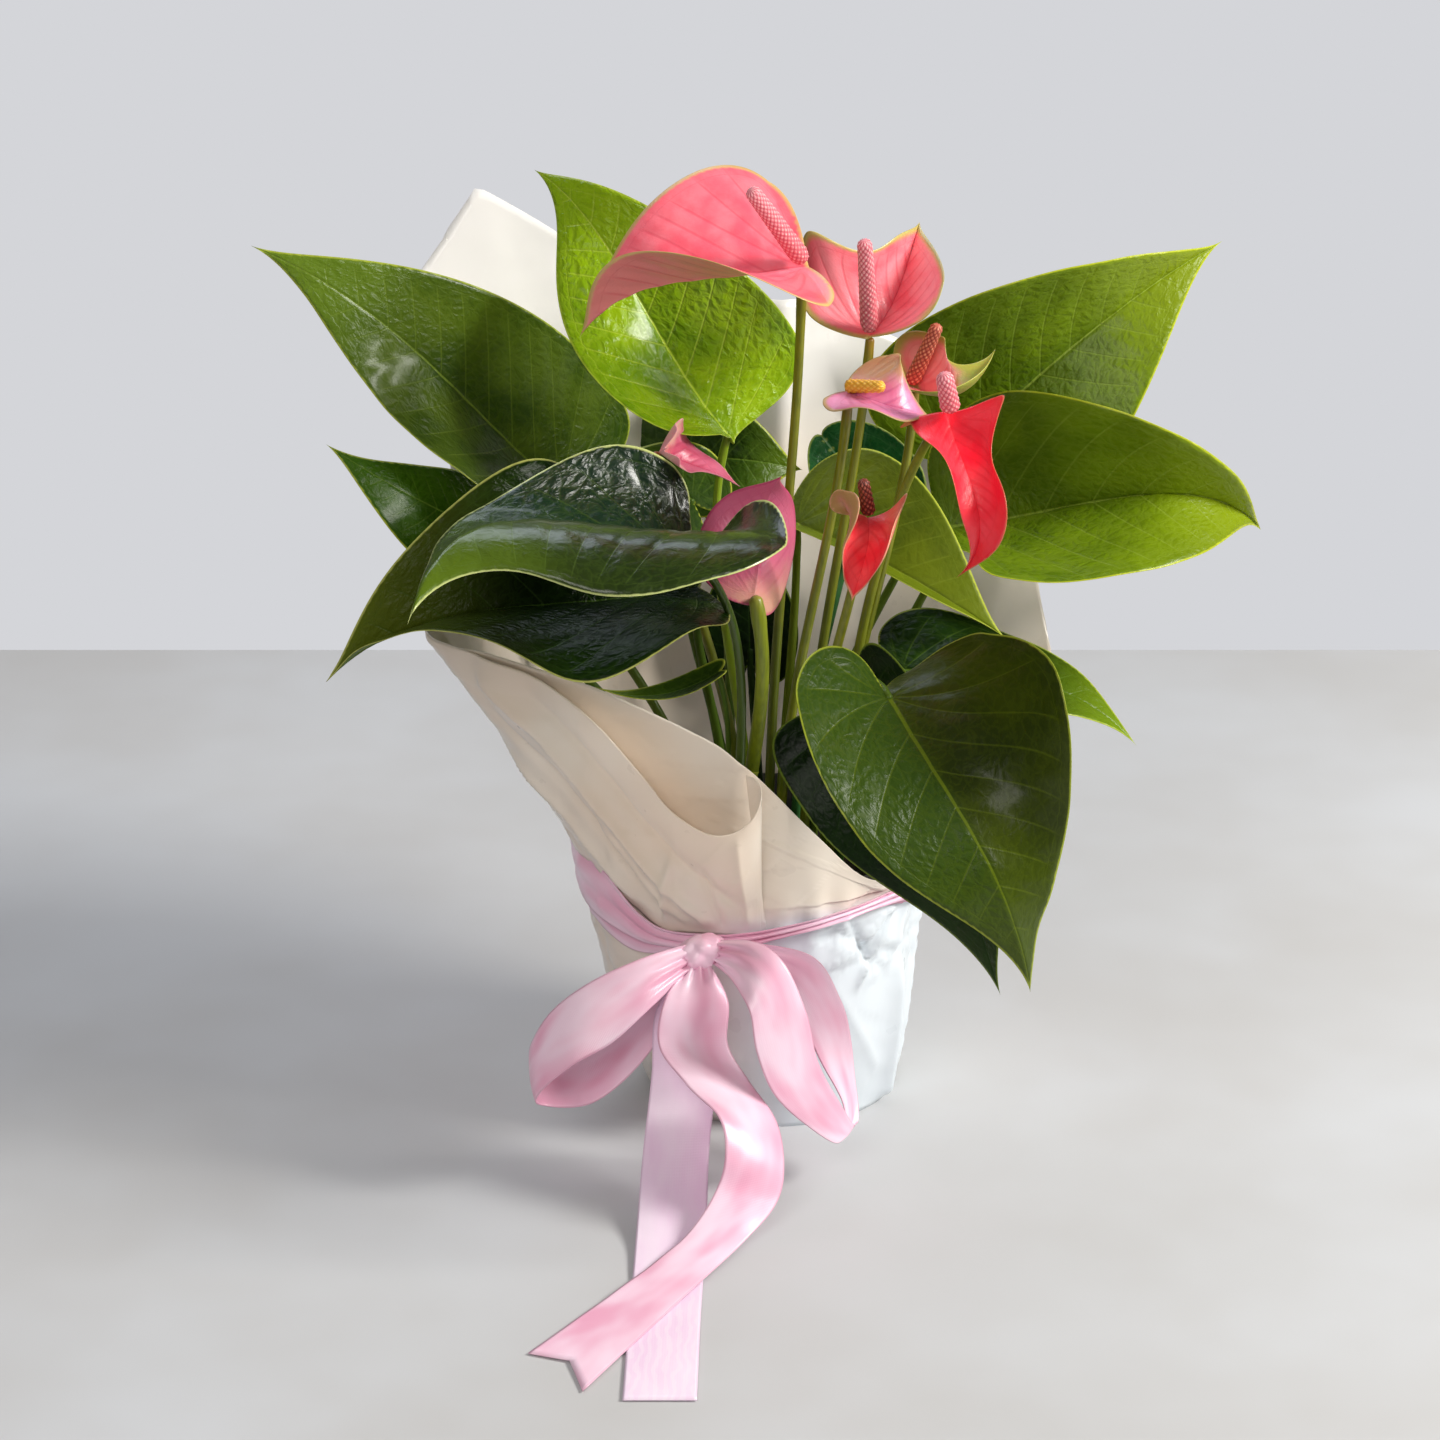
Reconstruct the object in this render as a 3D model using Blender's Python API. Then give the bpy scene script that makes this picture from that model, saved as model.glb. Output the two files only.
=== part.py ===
"""A potted anthurium wrapped as a gift: pot, soil, leaves, blooms, paper and a satin ribbon.

Metres, +Z up. The origin is on the floor, on the axis of the pot. The front of the plant looks along -Y.
Lengths in the tables are millimetres and angles are radians, unless a name says degrees.
"""
import math
from dataclasses import dataclass

import bpy
import numpy as np
from mathutils.bvhtree import BVHTree

MM = 0.001
GAP = 0.3

# Pot and soil
POT_HEIGHT = 105.0
POT_RIM_RADIUS = 59.0
POT_BASE_RADIUS = 43.5
POT_WALL = 1.2
POT_RIM_DEPTH = 8.0
POT_NECK_RADIUS = 56.4
POT_FLOOR = 1.8
POT_SIDES = 32
SOIL_SIDES = 24
DRAIN_HOLES = 5
DRAIN_RADIUS = 4.0
DRAIN_RING = 28.0
SOIL_TOP = 92.0
SOIL_DOME = 2.0

# Stalks: they leave the soil inside a crown whose reach grows with the reach of the leaf
CROWN_REACH = 34.0
CROWN_POWER = 0.6
FAR_REACH = 110.0
ROOT_DEPTH = 12.0
SEAT_START = 7.0
SEAT_ROUNDS = 6
STALK_SIDES = 5
STALK_STEPS = 7
ROOT_SPACING = 7.0
SPREADING_ROUNDS = 60
HOLE_GAP = 0.35

# Spadices
SPADIX_RINGS = 11
SPADIX_SIDES = 8
FLORET_RISE = 0.07

# Blades
BLADE_THICK = 0.8
NOTCH = 0.03
LEAF_RIM = (4, 3, 2)
SPATHE_RIM = (4, 3, 1)
RINGS = 3

# Paper wrap: rows of the wall below the flare, then the flare up to the rim
PAPER = 0.8
PAPER_COLUMNS = 40
PAPER_ROWS = (0.0, 35.0, 68.0, 100.0)
FLARE_STEPS = 3
FLARE_BEND = 1.15
WAIST_TAPER = 2.5
POT_LIFT = PAPER + GAP

# Ribbon
RIBBON_WIDTH = 26.0
RIBBON_THICK = 0.8
# Band: azimuth in degrees, lower edge, upper edge; it is bunched at the knot and in front, spread at the left
BAND_EDGES = (
    (0, 80, 98), (60, 74, 99), (120, 70, 97), (180, 68, 98), (215, 71, 98), (236, 79, 97), (250, 82, 96),
    (264, 84, 95), (285, 88, 97), (310, 89, 99), (340, 84, 99),
)
KNOT_CENTRE = (-26.0, -71.0, 88.0)
KNOT_RADII = (9.5, 6.5, 8.5)

# Colours as (red, green, blue), roughness
COLOURS = {
    "leaf": ((0.035, 0.115, 0.012), 0.32),
    "spathe": ((0.80, 0.10, 0.13), 0.35),
    "spadix": ((0.62, 0.22, 0.22), 0.6),
    "stem": ((0.16, 0.21, 0.025), 0.45),
    "soil": ((0.035, 0.022, 0.014), 0.95),
    "pot": ((0.05, 0.045, 0.04), 0.5),
    "paper": ((0.83, 0.76, 0.69), 0.35),
    "ribbon": ((0.85, 0.42, 0.55), 0.3),
}


@dataclass(frozen=True)
class Blade:
    """A heart-shaped blade. Pairs give the left of the midrib, seen from above with the tip ahead, then the right.

    facing is the way the upper face looks, half the half widths, lobe the reach behind the joint, widest and
    spread the places of the widest point and of the lobe's end, as shares. lobe and spread may be one number
    for both sides. Across the blade the angle starts at fold, plus gather towards the tip, and turns by curl
    out to the edge. Along it the midrib rises by arch, leaning to the tip with skew, bends aside by sway and
    rolls by twist. wave gives a rise at both edges, its count and its phase, and lift raises the lobes' ends.
    """

    joint: tuple
    tip: tuple
    facing: tuple
    half: tuple
    lobe: float | tuple
    widest: float = 0.14
    spread: float | tuple = 0.5
    fold: tuple = (0.15, 0.15)
    curl: tuple = (0.1, 0.1)
    gather: tuple = (0.0, 0.0)
    arch: float = 8.0
    skew: float = 0.0
    sway: float = 0.0
    twist: float = 0.0
    wave: tuple = (0.0, 0.0, 1.6, 0.0)
    lift: tuple = (0.0, 0.0)


LEAVES = {
    "01": Blade((-81, 45, 231), (-194, 7, 341), (-0.25, -0.41, 0.88), (44, 49), 18, 0.13, 0.62,
                (0.30, 0.43), (0.40, 0.32), (-1.05, 0.0), 11, 0.7, 2, -0.3),
    "02": Blade((-104, 22, 221), (-167, -9, 268), (-0.26, -0.70, 0.67), (29, 21), 16, fold=(0.1, -0.2),
                curl=(0.05, 0.0), sway=6),
    "03": Blade((-27, -66, 243), (-127, -156, 251), (-0.78, -0.14, 0.61), (66, 45), (12, 8), 0.15, (0.42, 0.75),
                (0.21, 0.71), (-1.3, 1.5), (-1.23, -1.26), 27, 0.54, 1, -0.14, (2.7, 7.9, 1.34, 0.03), (15, -1)),
    "04": Blade((-29, -21, 215), (-167, -45, 186), (-0.20, -0.28, 0.94), (60, 56), (2, 6), 0.30, (0.34, 0.30),
                (0.35, 0.35), (-0.45, 0.07), (0.30, 1.0), 18, 0.7, 9, 0.1, (12, -3, 1.8, 0.0)),
    "05": Blade((-19, -42, 188), (-70, -56, 185), (0.12, -0.34, 0.93), (14, 11), 5, fold=(0.45, 0.3), arch=-8),
    "06": Blade((-15, 19, 262), (-90, 72, 353), (0.31, -0.79, 0.54), (44, 46), 2, 0.12, 0.5,
                (0.80, 0.30), (-0.05, 0.20), (-1.20, 0.0), 18, 0.9, 4, -1.0),
    "07": Blade((77, 95, 229), (184, 123, 310), (0.06, -0.85, 0.53), (52, 48), 14, 0.14, 0.5,
                (0.40, 0.1), (0.0, 0.1), (0.60, 0.0), 14, 0.5, 3, 0.25),
    "08": Blade((74, 61, 210), (200, 80, 202), (0.09, -0.74, 0.66), (50, 62), 7, 0.24, 0.46,
                (0.40, 0.6), (0.0, 0.23), (0.65, 0.1), 28, 0.9, 2, 0.95),
    "09": Blade((44, -92, 198), (95, -141, 102), (0.56, -0.58, 0.33), (56, 43), (12, 19), 0.14, (0.62, 0.36),
                (0.51, -0.45), (1.5, 0.38), (-0.66, -0.15), 24, 0.25, -14, 0.53, (12.5, -0.4, 1.12, -0.11),
                (-12, 4)),
    "10": Blade((35, -52, 175), (88, -85, 74), (-0.27, -0.93, 0.24), (31, 39), 15, 0.16, 0.66,
                (0.40, 0.0), (0.13, 0.30), (0.13, -0.24), 10, -0.1, 9, 0.2),
    "11": Blade((52, -19, 180), (142, -28, 153), (0.10, -0.28, 0.95), (34, 36), 8, 0.13, 0.52,
                (0.0, 0.15), (0.0, 0.10), arch=10, skew=0.3, sway=5, wave=(3.5, 0, 1.3, 0.16)),
    "12": Blade((20, 33, 214), (92, -11, 190), (0.23, -0.59, 0.78), (41, 16), 10, 0.14, 0.46,
                (-0.2, 0.70), (0.10, 0.30), arch=9, sway=-3),
    "13": Blade((35, 67, 220), (57, 64, 190), (0.07, -0.97, 0.22), (28, 18), 25, 0.13, 0.40,
                (0.42, 0.25), (0.23, 0.10), arch=3),
    "14": Blade((-31, 76, 232), (15, 73, 229), (0.0, -0.87, 0.50), (23, 26), 15, fold=(0.2, 0.12)),
    "15": Blade((-29, 30, 232), (-57, 36, 250), (-0.10, -0.71, 0.70), (16, 19), 12),
    "16": Blade((-6, 65, 156), (-7, 79, 206), (0.0, -0.91, 0.41), (20, 20), 14, 0.14, 0.40, arch=3),
    "17": Blade((-9, -44, 143), (-3, -50, 151), (0.0, -0.8, 0.6), (4.5, 4.5), 3, arch=1),
}

SPATHES = {
    "01": Blade((12, -32, 344), (-70, -24, 315), (0.21, -0.43, 0.88), (39, 50), 5, 0.17, 0.51,
                (0.31, 0.12), (-0.15, 0.09), (1.75, 0.35), 16, 0.5, 5, 0.1),
    "02": Blade((37, -10, 311), (57, 20, 346), (-0.27, -0.74, 0.61), (42, 30), 12, 0.15, 0.42,
                (0.50, 0.65), (0.2, 0.07), arch=-4, sway=-6, twist=0.3),
    "03": Blade((29, -47, 302), (57.5, -54, 295), (-0.19, -0.61, 0.77), (21, 17), 8,
                fold=(-0.05, 0.3), curl=(0.0, 0.14), arch=8, twist=-0.1),
    "04": Blade((55, -7, 290), (85, -10, 306), (-0.23, -0.56, 0.80), (22, 16), 9, fold=(0.45, 1.0),
                curl=(0.12, 0.27), arch=0, sway=-12),
    "05": Blade((65, -58, 296), (69, -71, 237), (0.46, -0.72, 0.44), (20, 12), (1, 4), 0.08, (0.50, 0.71),
                (0.07, -0.15), (1.25, 0.08), (1.55, 0.15), 20, 0.56, -3, -0.36, (10, -7, 1.29, 0.32), (-1, -15)),
    "06": Blade((36, -68, 259), (30, -85, 233), (0.41, -0.74, 0.34), (20, 21), (2, 7), 0.32, (0.59, 0.67),
                (0.48, -0.22), (1.34, 1.83), (1.33, 0.09), 6, -0.28, -1, -0.31, (2, -4, 1.78, -0.67), (-6, -10)),
    "07": Blade((-44, -28, 274), (-11, -39, 263), (0.08, -0.43, 0.90), (12, 12), 4, fold=(0.9, 0.9), arch=4),
    "08": Blade((-6, -43, 217), (5, -37, 265), (-0.20, 0.88, 0.43), (21, 25), 2, 0.36, 0.25,
                (0.2, 0.3), (0.7, 0.7), (-0.2, 0.0), 15, 0.5, 4),
}

# Top of the spadix, its radius at the base and at the top
SPADICES = {
    "01": ((-7, -54, 379), 3.6, 2.7),
    "02": ((35, -28, 353), 3.3, 2.6),
    "03": ((41, -58, 309), 2.2, 1.6),
    "04": ((63, -19, 318), 3.0, 2.2),
    "05": ((63, -66, 314), 3.6, 3.0),
    "06": ((34, -74, 276), 2.6, 2.0),
}

# Stalk radius at the soil and at the joint
LEAF_STALK = (2.1, 1.5)
SMALL_STALK = (1.2, 1.0)
BLOOM_STALK = (2.0, 1.7)
THICK_STALKS = {"08": (2.8, 2.6)}

# Places in the soil of the stalks that the photo shows, before the stalks are spread apart
SEEN_ROOTS = {
    "stem_01": (1, -8), "stem_02": (15, -9), "stem_03": (5, -20), "stem_04": (26, -15), "stem_05": (27, -20),
    "stem_06": (14, -26), "stem_07": (-9, 0), "stem_08": (-9, -22), "leaf_03": (-12, -34), "leaf_05": (-17, -27),
    "leaf_06": (-6, 8), "leaf_07": (18, 26), "leaf_08": (24, 14), "leaf_09": (17, -17), "leaf_10": (28, -28),
    "leaf_11": (26, -6), "leaf_12": (6, 9), "leaf_14": (-14, 20), "leaf_17": (-3, -38),
}

# Directions in which some stalks reach their joint, to pass beside or over a neighbour
STALK_WAYS = {
    "leaf_03": (-0.5, -0.5, 0.7), "leaf_07": (0.35, 0.43, 0.83), "leaf_09": (0.3, -0.93, -0.25),
    "leaf_10": (0.2, -0.5, 0.85),
    "stem_01": (0.0, -0.25, 0.97), "stem_05": (0.25, -0.75, 0.6), "stem_07": (-0.8, -0.35, 0.5),
}

# Rim of the paper: azimuth in degrees from +X, reach from the axis, height
PAPER_RIM = (
    (0, 95, 144), (18, 118, 157), (27, 128, 161), (36, 133, 200), (45, 148, 234), (54, 143, 253), (63, 132, 268),
    (81, 108, 290), (90, 101, 293), (117, 121, 301), (126, 140, 316), (135, 163, 335), (144, 168, 305),
    (153, 141, 275), (162, 130, 248), (171, 125, 222), (180, 126, 205), (189, 131, 190), (198, 112, 188),
    (216, 88, 183), (234, 73, 174), (252, 68.5, 166), (261, 67, 159), (270, 67, 150), (288, 67, 127),
    (306, 67, 108), (324, 68, 108), (342, 77, 125),
)
# Reach of the wall at azimuths 0, 90, 180 and 270 degrees
BASE_REACH = (53.0, 50.0, 47.0, 50.0)
WAIST_REACH = (61.5, 64.0, 72.0, 65.5)

# Lip of the pocket folded at the front, from its left end to the rolled edge
POCKET_LIP = ((-105, -47, 171), (-71, -66, 164), (-46, -74, 152), (-24, -79, 138), (-6, -75, 144), (-2, -69, 150))
POCKET_AZIMUTHS = (207.0, 261.0)
POCKET_FOOT = 105.0
POCKET_DEPTH = 18.0
POCKET_SWELL = 2.5
LIP_THICK = 2.0
# Height of the mouth's row away from the pocket, as a share of the flare
MOUTH_SHARE = 0.4

# Ribbon routes: centre line, then the way across the ribbon at its start, middle and end
LOOPS = {
    "left": (((-27, -72, 88), (-48, -92, 82), (-67, -103, 70), (-78, -103, 56), (-74, -93, 54), (-56, -86, 67),
              (-28, -74, 87)), ((0.3, -0.2, 0.93), (0.55, -0.35, -0.75), (0.3, 0.2, 0.93))),
    "right": (((-24, -72, 88), (0, -93, 88), (14, -104, 68), (24, -102, 40), (18, -92, 46), (4, -83, 70),
               (-23, -73, 86)), ((-0.3, -0.2, 0.93), (0.80, -0.5, 0.3), (-0.3, 0.2, 0.93))),
}
TAILS = {
    "curly": (((-27, -73, 86), (-33, -87, 73), (-29, -98, 56), (-13, -112, 41), (-1, -124, 27), (-4, -140, 15),
               (-25, -165, 7), (-47, -195, 4), (-76, -235, 1)),
              ((0.95, -0.2, 0.0), (0.80, -0.60, 0.1), (0.78, -0.62, 0.0))),
    "straight": (((-26, -72, 84), (-29, -82, 67), (-32, -90, 43), (-35, -106, 20), (-36, -138, 4), (-37, -170, 0.9),
                  (-38, -205, 0.8), (-39, -258, 0.8)), ((1, 0, 0), (1, 0, 0), (1, 0, 0))),
}
RIBBON_STEPS = 3


def unit(v):
    """Vector or rows of vectors, each of length 1."""
    v = np.asarray(v, float)
    return v / np.maximum(np.linalg.norm(v, axis=-1, keepdims=True), 1e-12)


def bezier(points, count, closed_end=True):
    """Points on a cubic Bezier curve."""
    p = np.asarray(points, float)
    t = np.linspace(0, 1, count + 1)[:, None]
    curve = (1 - t) ** 3 * p[0] + 3 * t * (1 - t) ** 2 * p[1] + 3 * t * t * (1 - t) * p[2] + t ** 3 * p[3]
    return curve if closed_end else curve[:-1]


def through(points, steps):
    """Smooth curve through the points, with so many steps between each two."""
    p = np.asarray(points, float)
    q = np.concatenate([[2 * p[0] - p[1]], p, [2 * p[-1] - p[-2]]])
    t = np.linspace(0, 1, steps + 1)[:-1, None]
    runs = []
    for a, b, c, d in zip(q, q[1:], q[2:], q[3:]):
        bend = (2 * a - 5 * b + 4 * c - d) * t ** 2 + (3 * b - a - 3 * c + d) * t ** 3
        runs.append(0.5 * (2 * b + (c - a) * t + bend))
    return np.concatenate(runs + [p[-1:]])


def both(value):
    """Pair of the values for the left and the right side."""
    return tuple(np.broadcast_to(value, 2).tolist())


def blade_length(blade):
    """Length along the arched midrib, from the chord and the rise."""
    chord = np.linalg.norm(np.subtract(blade.tip, blade.joint))
    return chord * (1 + 1.3 * (blade.arch / chord) ** 2)


def heart_rim(blade, counts):
    """Flat outline: on each side curves from the tip to the widest point, round the lobe and into the notch."""
    length = blade_length(blade)
    wide = blade.widest * length
    sides = []
    for reach, spread, half in zip(both(blade.lobe), both(blade.spread), (blade.half[0], -blade.half[1])):
        lobe = -reach
        runs = (
            ((length, 0), (length * 0.84, 0.04), (wide + 0.45 * (length - wide), 1), (wide, 1)),
            ((wide, 1), (wide - 0.55 * (wide - lobe), 1), (lobe, min(spread + 0.36, 0.98)), (lobe, spread)),
            ((lobe, spread), (lobe, spread - 0.3), (0.45 * lobe, 0.05), (-NOTCH * length, 0)),
        )
        side = np.concatenate([bezier(run, n, run is runs[-1]) for run, n in zip(runs, counts)])
        sides.append(side * [1, half])
    return np.concatenate([sides[0], sides[1][1:-1][::-1]])


def drape(blade, x, y):
    """Points on the bent blade for flat coordinates: x along the midrib from the joint, y across it."""
    joint = np.asarray(blade.joint, float)
    chord = np.linalg.norm(np.subtract(blade.tip, blade.joint))
    ahead = unit(np.subtract(blade.tip, blade.joint))
    above = np.asarray(blade.facing, float)
    above = unit(above - (above @ ahead) * ahead)
    aside = np.cross(above, ahead)
    share = x / blade_length(blade)
    inside = np.clip(share, 0, 1)
    behind = np.minimum(share, 0)

    def rise(s):
        return blade.arch * 4 * s * (1 - s) * (1 + blade.skew * (2 * s - 1))

    def slope(s):
        return blade.arch * 4 * ((1 - 2 * s) * (1 + blade.skew * (2 * s - 1)) + 2 * blade.skew * s * (1 - s))

    lean = blade.sway * 4
    height = rise(inside) + slope(0.0) * behind
    across = lean * inside * (1 - inside) + lean * behind
    centre = joint + (share * chord)[:, None] * ahead + height[:, None] * above + across[:, None] * aside
    climb = slope(inside)[:, None] / chord
    drift = (lean * (1 - 2 * inside))[:, None] / chord
    tangent = unit(ahead + climb * above + drift * aside)
    normal = unit(above - (tangent @ above)[:, None] * tangent)
    side = np.cross(normal, tangent)
    roll = blade.twist * (share - 0.3)[:, None]
    side, normal = side * np.cos(roll) + normal * np.sin(roll), normal * np.cos(roll) - side * np.sin(roll)
    left = y >= 0
    width = np.where(left, *blade.half)
    start = np.where(left, *blade.fold) + np.where(left, *blade.gather) * inside
    turn = np.where(left, *blade.curl)
    turn = np.where(np.abs(turn) < 1e-4, 1e-4, turn)
    reach = np.abs(y) / width
    out = width / turn * (np.sin(start + turn * reach) - np.sin(start))
    up = width / turn * (np.cos(start) - np.cos(start + turn * reach))
    left_wave, right_wave, count, phase = blade.wave
    ripple = np.sin(2 * math.pi * (count * share + phase)) * reach ** 2
    up = up + np.where(left, left_wave, right_wave) * ripple
    up = up + np.where(left, *blade.lift) * (np.minimum(x, 0) / np.where(left, *both(blade.lobe))) ** 2
    return centre + (np.where(left, 1, -1) * out)[:, None] * side + up[:, None] * normal


def blade_normal(blade, x, y, step=0.2):
    """Unit normals of the bent blade at flat coordinates, from differences of its points."""
    side = np.where(y >= 0, 1.0, -1.0)
    near = np.abs(y) < 1e-6
    along = drape(blade, x + step, y) - drape(blade, x - step, y)
    across = (drape(blade, x, y + side * step) - drape(blade, x, y)) * side[:, None]
    both = drape(blade, x, y + step) - drape(blade, x, y - step)
    return unit(np.cross(along, np.where(near[:, None], both, across)))


def blade_solid(blade, counts):
    """Closed blade: rings from the joint to the outline, alike on both faces, with a wall round the rim."""
    rim = heart_rim(blade, counts)
    n = len(rim)
    shares = np.linspace(0, 1, RINGS + 1)[1:]
    flat = np.concatenate([[[0.0, 0.0]], (shares[:, None, None] * rim).reshape(-1, 2)])
    points = drape(blade, flat[:, 0], flat[:, 1])
    offset = blade_normal(blade, flat[:, 0], flat[:, 1]) * BLADE_THICK / 2
    k = np.arange(n)
    after = (k + 1) % n
    faces = [np.stack([0 * k, 1 + k, 1 + after], 1)]
    for ring in range(RINGS - 1):
        low, high = 1 + ring * n, 1 + (ring + 1) * n
        faces.append(np.stack([low + k, high + k, high + after], 1))
        faces.append(np.stack([low + k, high + after, low + after], 1))
    top = np.concatenate(faces)
    m = len(flat)
    edge = 1 + (RINGS - 1) * n
    below = m + edge
    outer = np.stack([edge + k, below + k, below + after], 1)
    inner = np.stack([edge + k, below + after, edge + after], 1)
    faces = np.concatenate([top, top[:, ::-1] + m, outer, inner])
    return np.concatenate([points + offset, points - offset]), faces


def ring_solid(rings):
    """Closed solid through rings of equally many points, with a fan on each end."""
    rings = np.asarray(rings, float)
    count, sides = rings.shape[:2]
    k = np.arange(sides)
    after = (k + 1) % sides
    faces = []
    for i in range(count - 1):
        low, high = i * sides, (i + 1) * sides
        faces.append(np.stack([low + k, low + after, high + after], 1))
        faces.append(np.stack([low + k, high + after, high + k], 1))
    first, last = count * sides, count * sides + 1
    end = (count - 1) * sides
    faces += [np.stack([0 * k + first, after, k], 1), np.stack([0 * k + last, end + k, end + after], 1)]
    points = np.concatenate([rings.reshape(-1, 3), rings[:1].mean(1), rings[-1:].mean(1)])
    return points, np.concatenate(faces)


def tube(line, radii, sides):
    """Closed tube along a line, its cross directions carried along without twisting."""
    line = np.asarray(line, float)
    ahead = unit(np.gradient(line, axis=0))
    first = np.array([0.0, 1.0, 0.0]) if abs(ahead[0][1]) < 0.9 else np.array([1.0, 0.0, 0.0])
    across = [unit(first - (first @ ahead[0]) * ahead[0])]
    for direction in ahead[1:]:
        across.append(unit(across[-1] - (across[-1] @ direction) * direction))
    across = np.array(across)
    third = np.cross(ahead, across)
    turn = np.linspace(0, 2 * math.pi, sides, endpoint=False)[:, None]
    radii = np.broadcast_to(radii, len(line))
    rings = [c + r * (np.cos(turn) * a + np.sin(turn) * b) for c, r, a, b in zip(line, radii, across, third)]
    return ring_solid(rings)


def crown_root(joint):
    """Place in the crown where a stalk leaves the soil, from the direction and the reach of its joint."""
    reach = math.hypot(joint[0], joint[1])
    share = CROWN_REACH / reach * (reach / FAR_REACH) ** CROWN_POWER
    return (joint[0] * share, joint[1] * share)


def spread_roots():
    """Places of all stalks in the soil: pairs nearer than the spacing push apart, a half of the lack each."""
    joints = {f"leaf_{number}": blade.joint for number, blade in LEAVES.items()}
    joints.update({f"stem_{number}": blade.joint for number, blade in SPATHES.items()})
    names = list(joints)
    places = np.array([SEEN_ROOTS.get(name, crown_root(joints[name])) for name in names], float)
    for _ in range(SPREADING_ROUNDS):
        apart = places[:, None] - places[None]
        distance = np.linalg.norm(apart, axis=-1)
        lack = np.clip(ROOT_SPACING - distance, 0, None) / 2
        np.fill_diagonal(lack, 0)
        places += (apart / np.maximum(distance, 1e-6)[..., None] * lack[..., None]).sum(1)
    return {name: np.array([x, y, SOIL_TOP]) for name, (x, y) in zip(names, places)}


def stalk(root, end, arrive, radii, round_end):
    """Stalk that stands upright in the soil, bends over and reaches its end in the direction given."""
    reach = np.linalg.norm(end - root)
    corners = (root + [0, 0, 2.5], root + [0, 0, 0.42 * reach], end - 0.33 * reach * arrive, end)
    bend = bezier(corners, STALK_STEPS)
    line = np.concatenate([[root - [0, 0, ROOT_DEPTH]], bend])
    sizes = np.interp(np.linspace(0, 1, len(line)), (0, 1), radii)
    if round_end:
        last = sizes[-1]
        cap = [end + arrive * last * 0.55, end + arrive * last * 0.9]
        line = np.concatenate([line, cap])
        sizes = np.concatenate([sizes, [last * 0.83, last * 0.42]])
    return tube(line, sizes, STALK_SIDES)


def clearance(one, other):
    """Smallest distance from the corners of either solid to the faces of the other."""
    nearest = []
    for (points, _), (corners, faces) in ((one, other), (other, one)):
        tree = BVHTree.FromPolygons(corners.tolist(), faces.tolist())
        nearest.append(min(tree.find_nearest(point)[3] for point in points.tolist()))
    return min(nearest)


def seat(make, blade):
    """Solid made by make(offset from the joint), brought up to the blade in steps until only the gap is left."""
    offset = SEAT_START
    for _ in range(SEAT_ROUNDS):
        offset -= clearance(make(offset), blade) - GAP
    return make(offset)


def joint_normal(blade):
    """Way the upper face looks just ahead of the joint."""
    return blade_normal(blade, np.array([0.5]), np.array([0.0]))[0]


def spadix_solid(start, top, base_radius, top_radius):
    """Pebbly spike: a tapered rod with round ends, whose florets rise along two crossing spirals."""
    line = np.linspace(start, np.asarray(top, float), SPADIX_RINGS)
    share = np.linspace(0, 1, SPADIX_RINGS)
    radii = base_radius + (top_radius - base_radius) * share
    radii = radii * np.sqrt(np.clip(1 - (2 * np.maximum(share - 0.75, 0)) ** 2 * 3.2, 0.1, 1))
    radii[0] *= 0.72
    points, faces = tube(line, radii, SPADIX_SIDES)
    body = points[:-2].reshape(SPADIX_RINGS, SPADIX_SIDES, 3)
    turn = np.arange(SPADIX_SIDES) * 2 * math.pi / SPADIX_SIDES
    relief = 1 + FLORET_RISE * np.cos(4 * turn[None, :] + math.pi * np.arange(SPADIX_RINGS)[:, None])
    body = line[:, None] + (body - line[:, None]) * relief[..., None]
    return np.concatenate([body.reshape(-1, 3), points[-2:]]), faces


def paper_reach(azimuth, values):
    """Reach of the wall at an azimuth in degrees, from its values at the four sides."""
    around = np.radians(np.asarray(azimuth, float))
    right, back, left, front = values
    middle = sum(values) / 4
    return middle + (right - left) / 2 * np.cos(around) + (back - front) / 2 * np.sin(around) + (
        (right + left - back - front) / 4 * np.cos(2 * around))


def wall_reaches(azimuths, heights):
    """Reach of the paper's outer face below the flare at each azimuth and height."""
    return np.array([wall_reach(np.array([turn]), height)[0] for turn, height in zip(azimuths, heights)])


def wall_reach(azimuth, height):
    """Reach of the paper's outer face below the flare, straight between the rows."""
    base = paper_reach(azimuth, BASE_REACH)
    waist = paper_reach(azimuth, WAIST_REACH)
    heights = np.array(PAPER_ROWS)
    reaches = np.stack([base, base + 0.55 * (waist - base), waist - WAIST_TAPER, waist + WAIST_TAPER])
    return np.array([np.interp(height, heights, column) for column in reaches.T])


def flare_reach(azimuths, heights):
    """Reach of the paper's outer face in the flare, along the straight pieces between its rows."""
    stations = np.array(PAPER_RIM, float)
    rim_reach = np.interp(azimuths, stations[:, 0], stations[:, 1], period=360)
    rim_height = np.interp(azimuths, stations[:, 0], stations[:, 2], period=360)
    low = PAPER_ROWS[-1]
    start = wall_reach(azimuths, low)
    steps = np.linspace(0, 1, FLARE_STEPS + 1)
    share = (heights - low) / (rim_height - low)
    bent = np.array([np.interp(one, steps, steps ** FLARE_BEND) for one in share])
    return start + (rim_reach - start) * bent


def around(azimuth, reach, height):
    """Points in millimetres from azimuths in degrees, reaches and heights."""
    turn = np.radians(azimuth)
    return np.stack([reach * np.cos(turn), reach * np.sin(turn), height * np.ones_like(turn)], -1)


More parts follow.
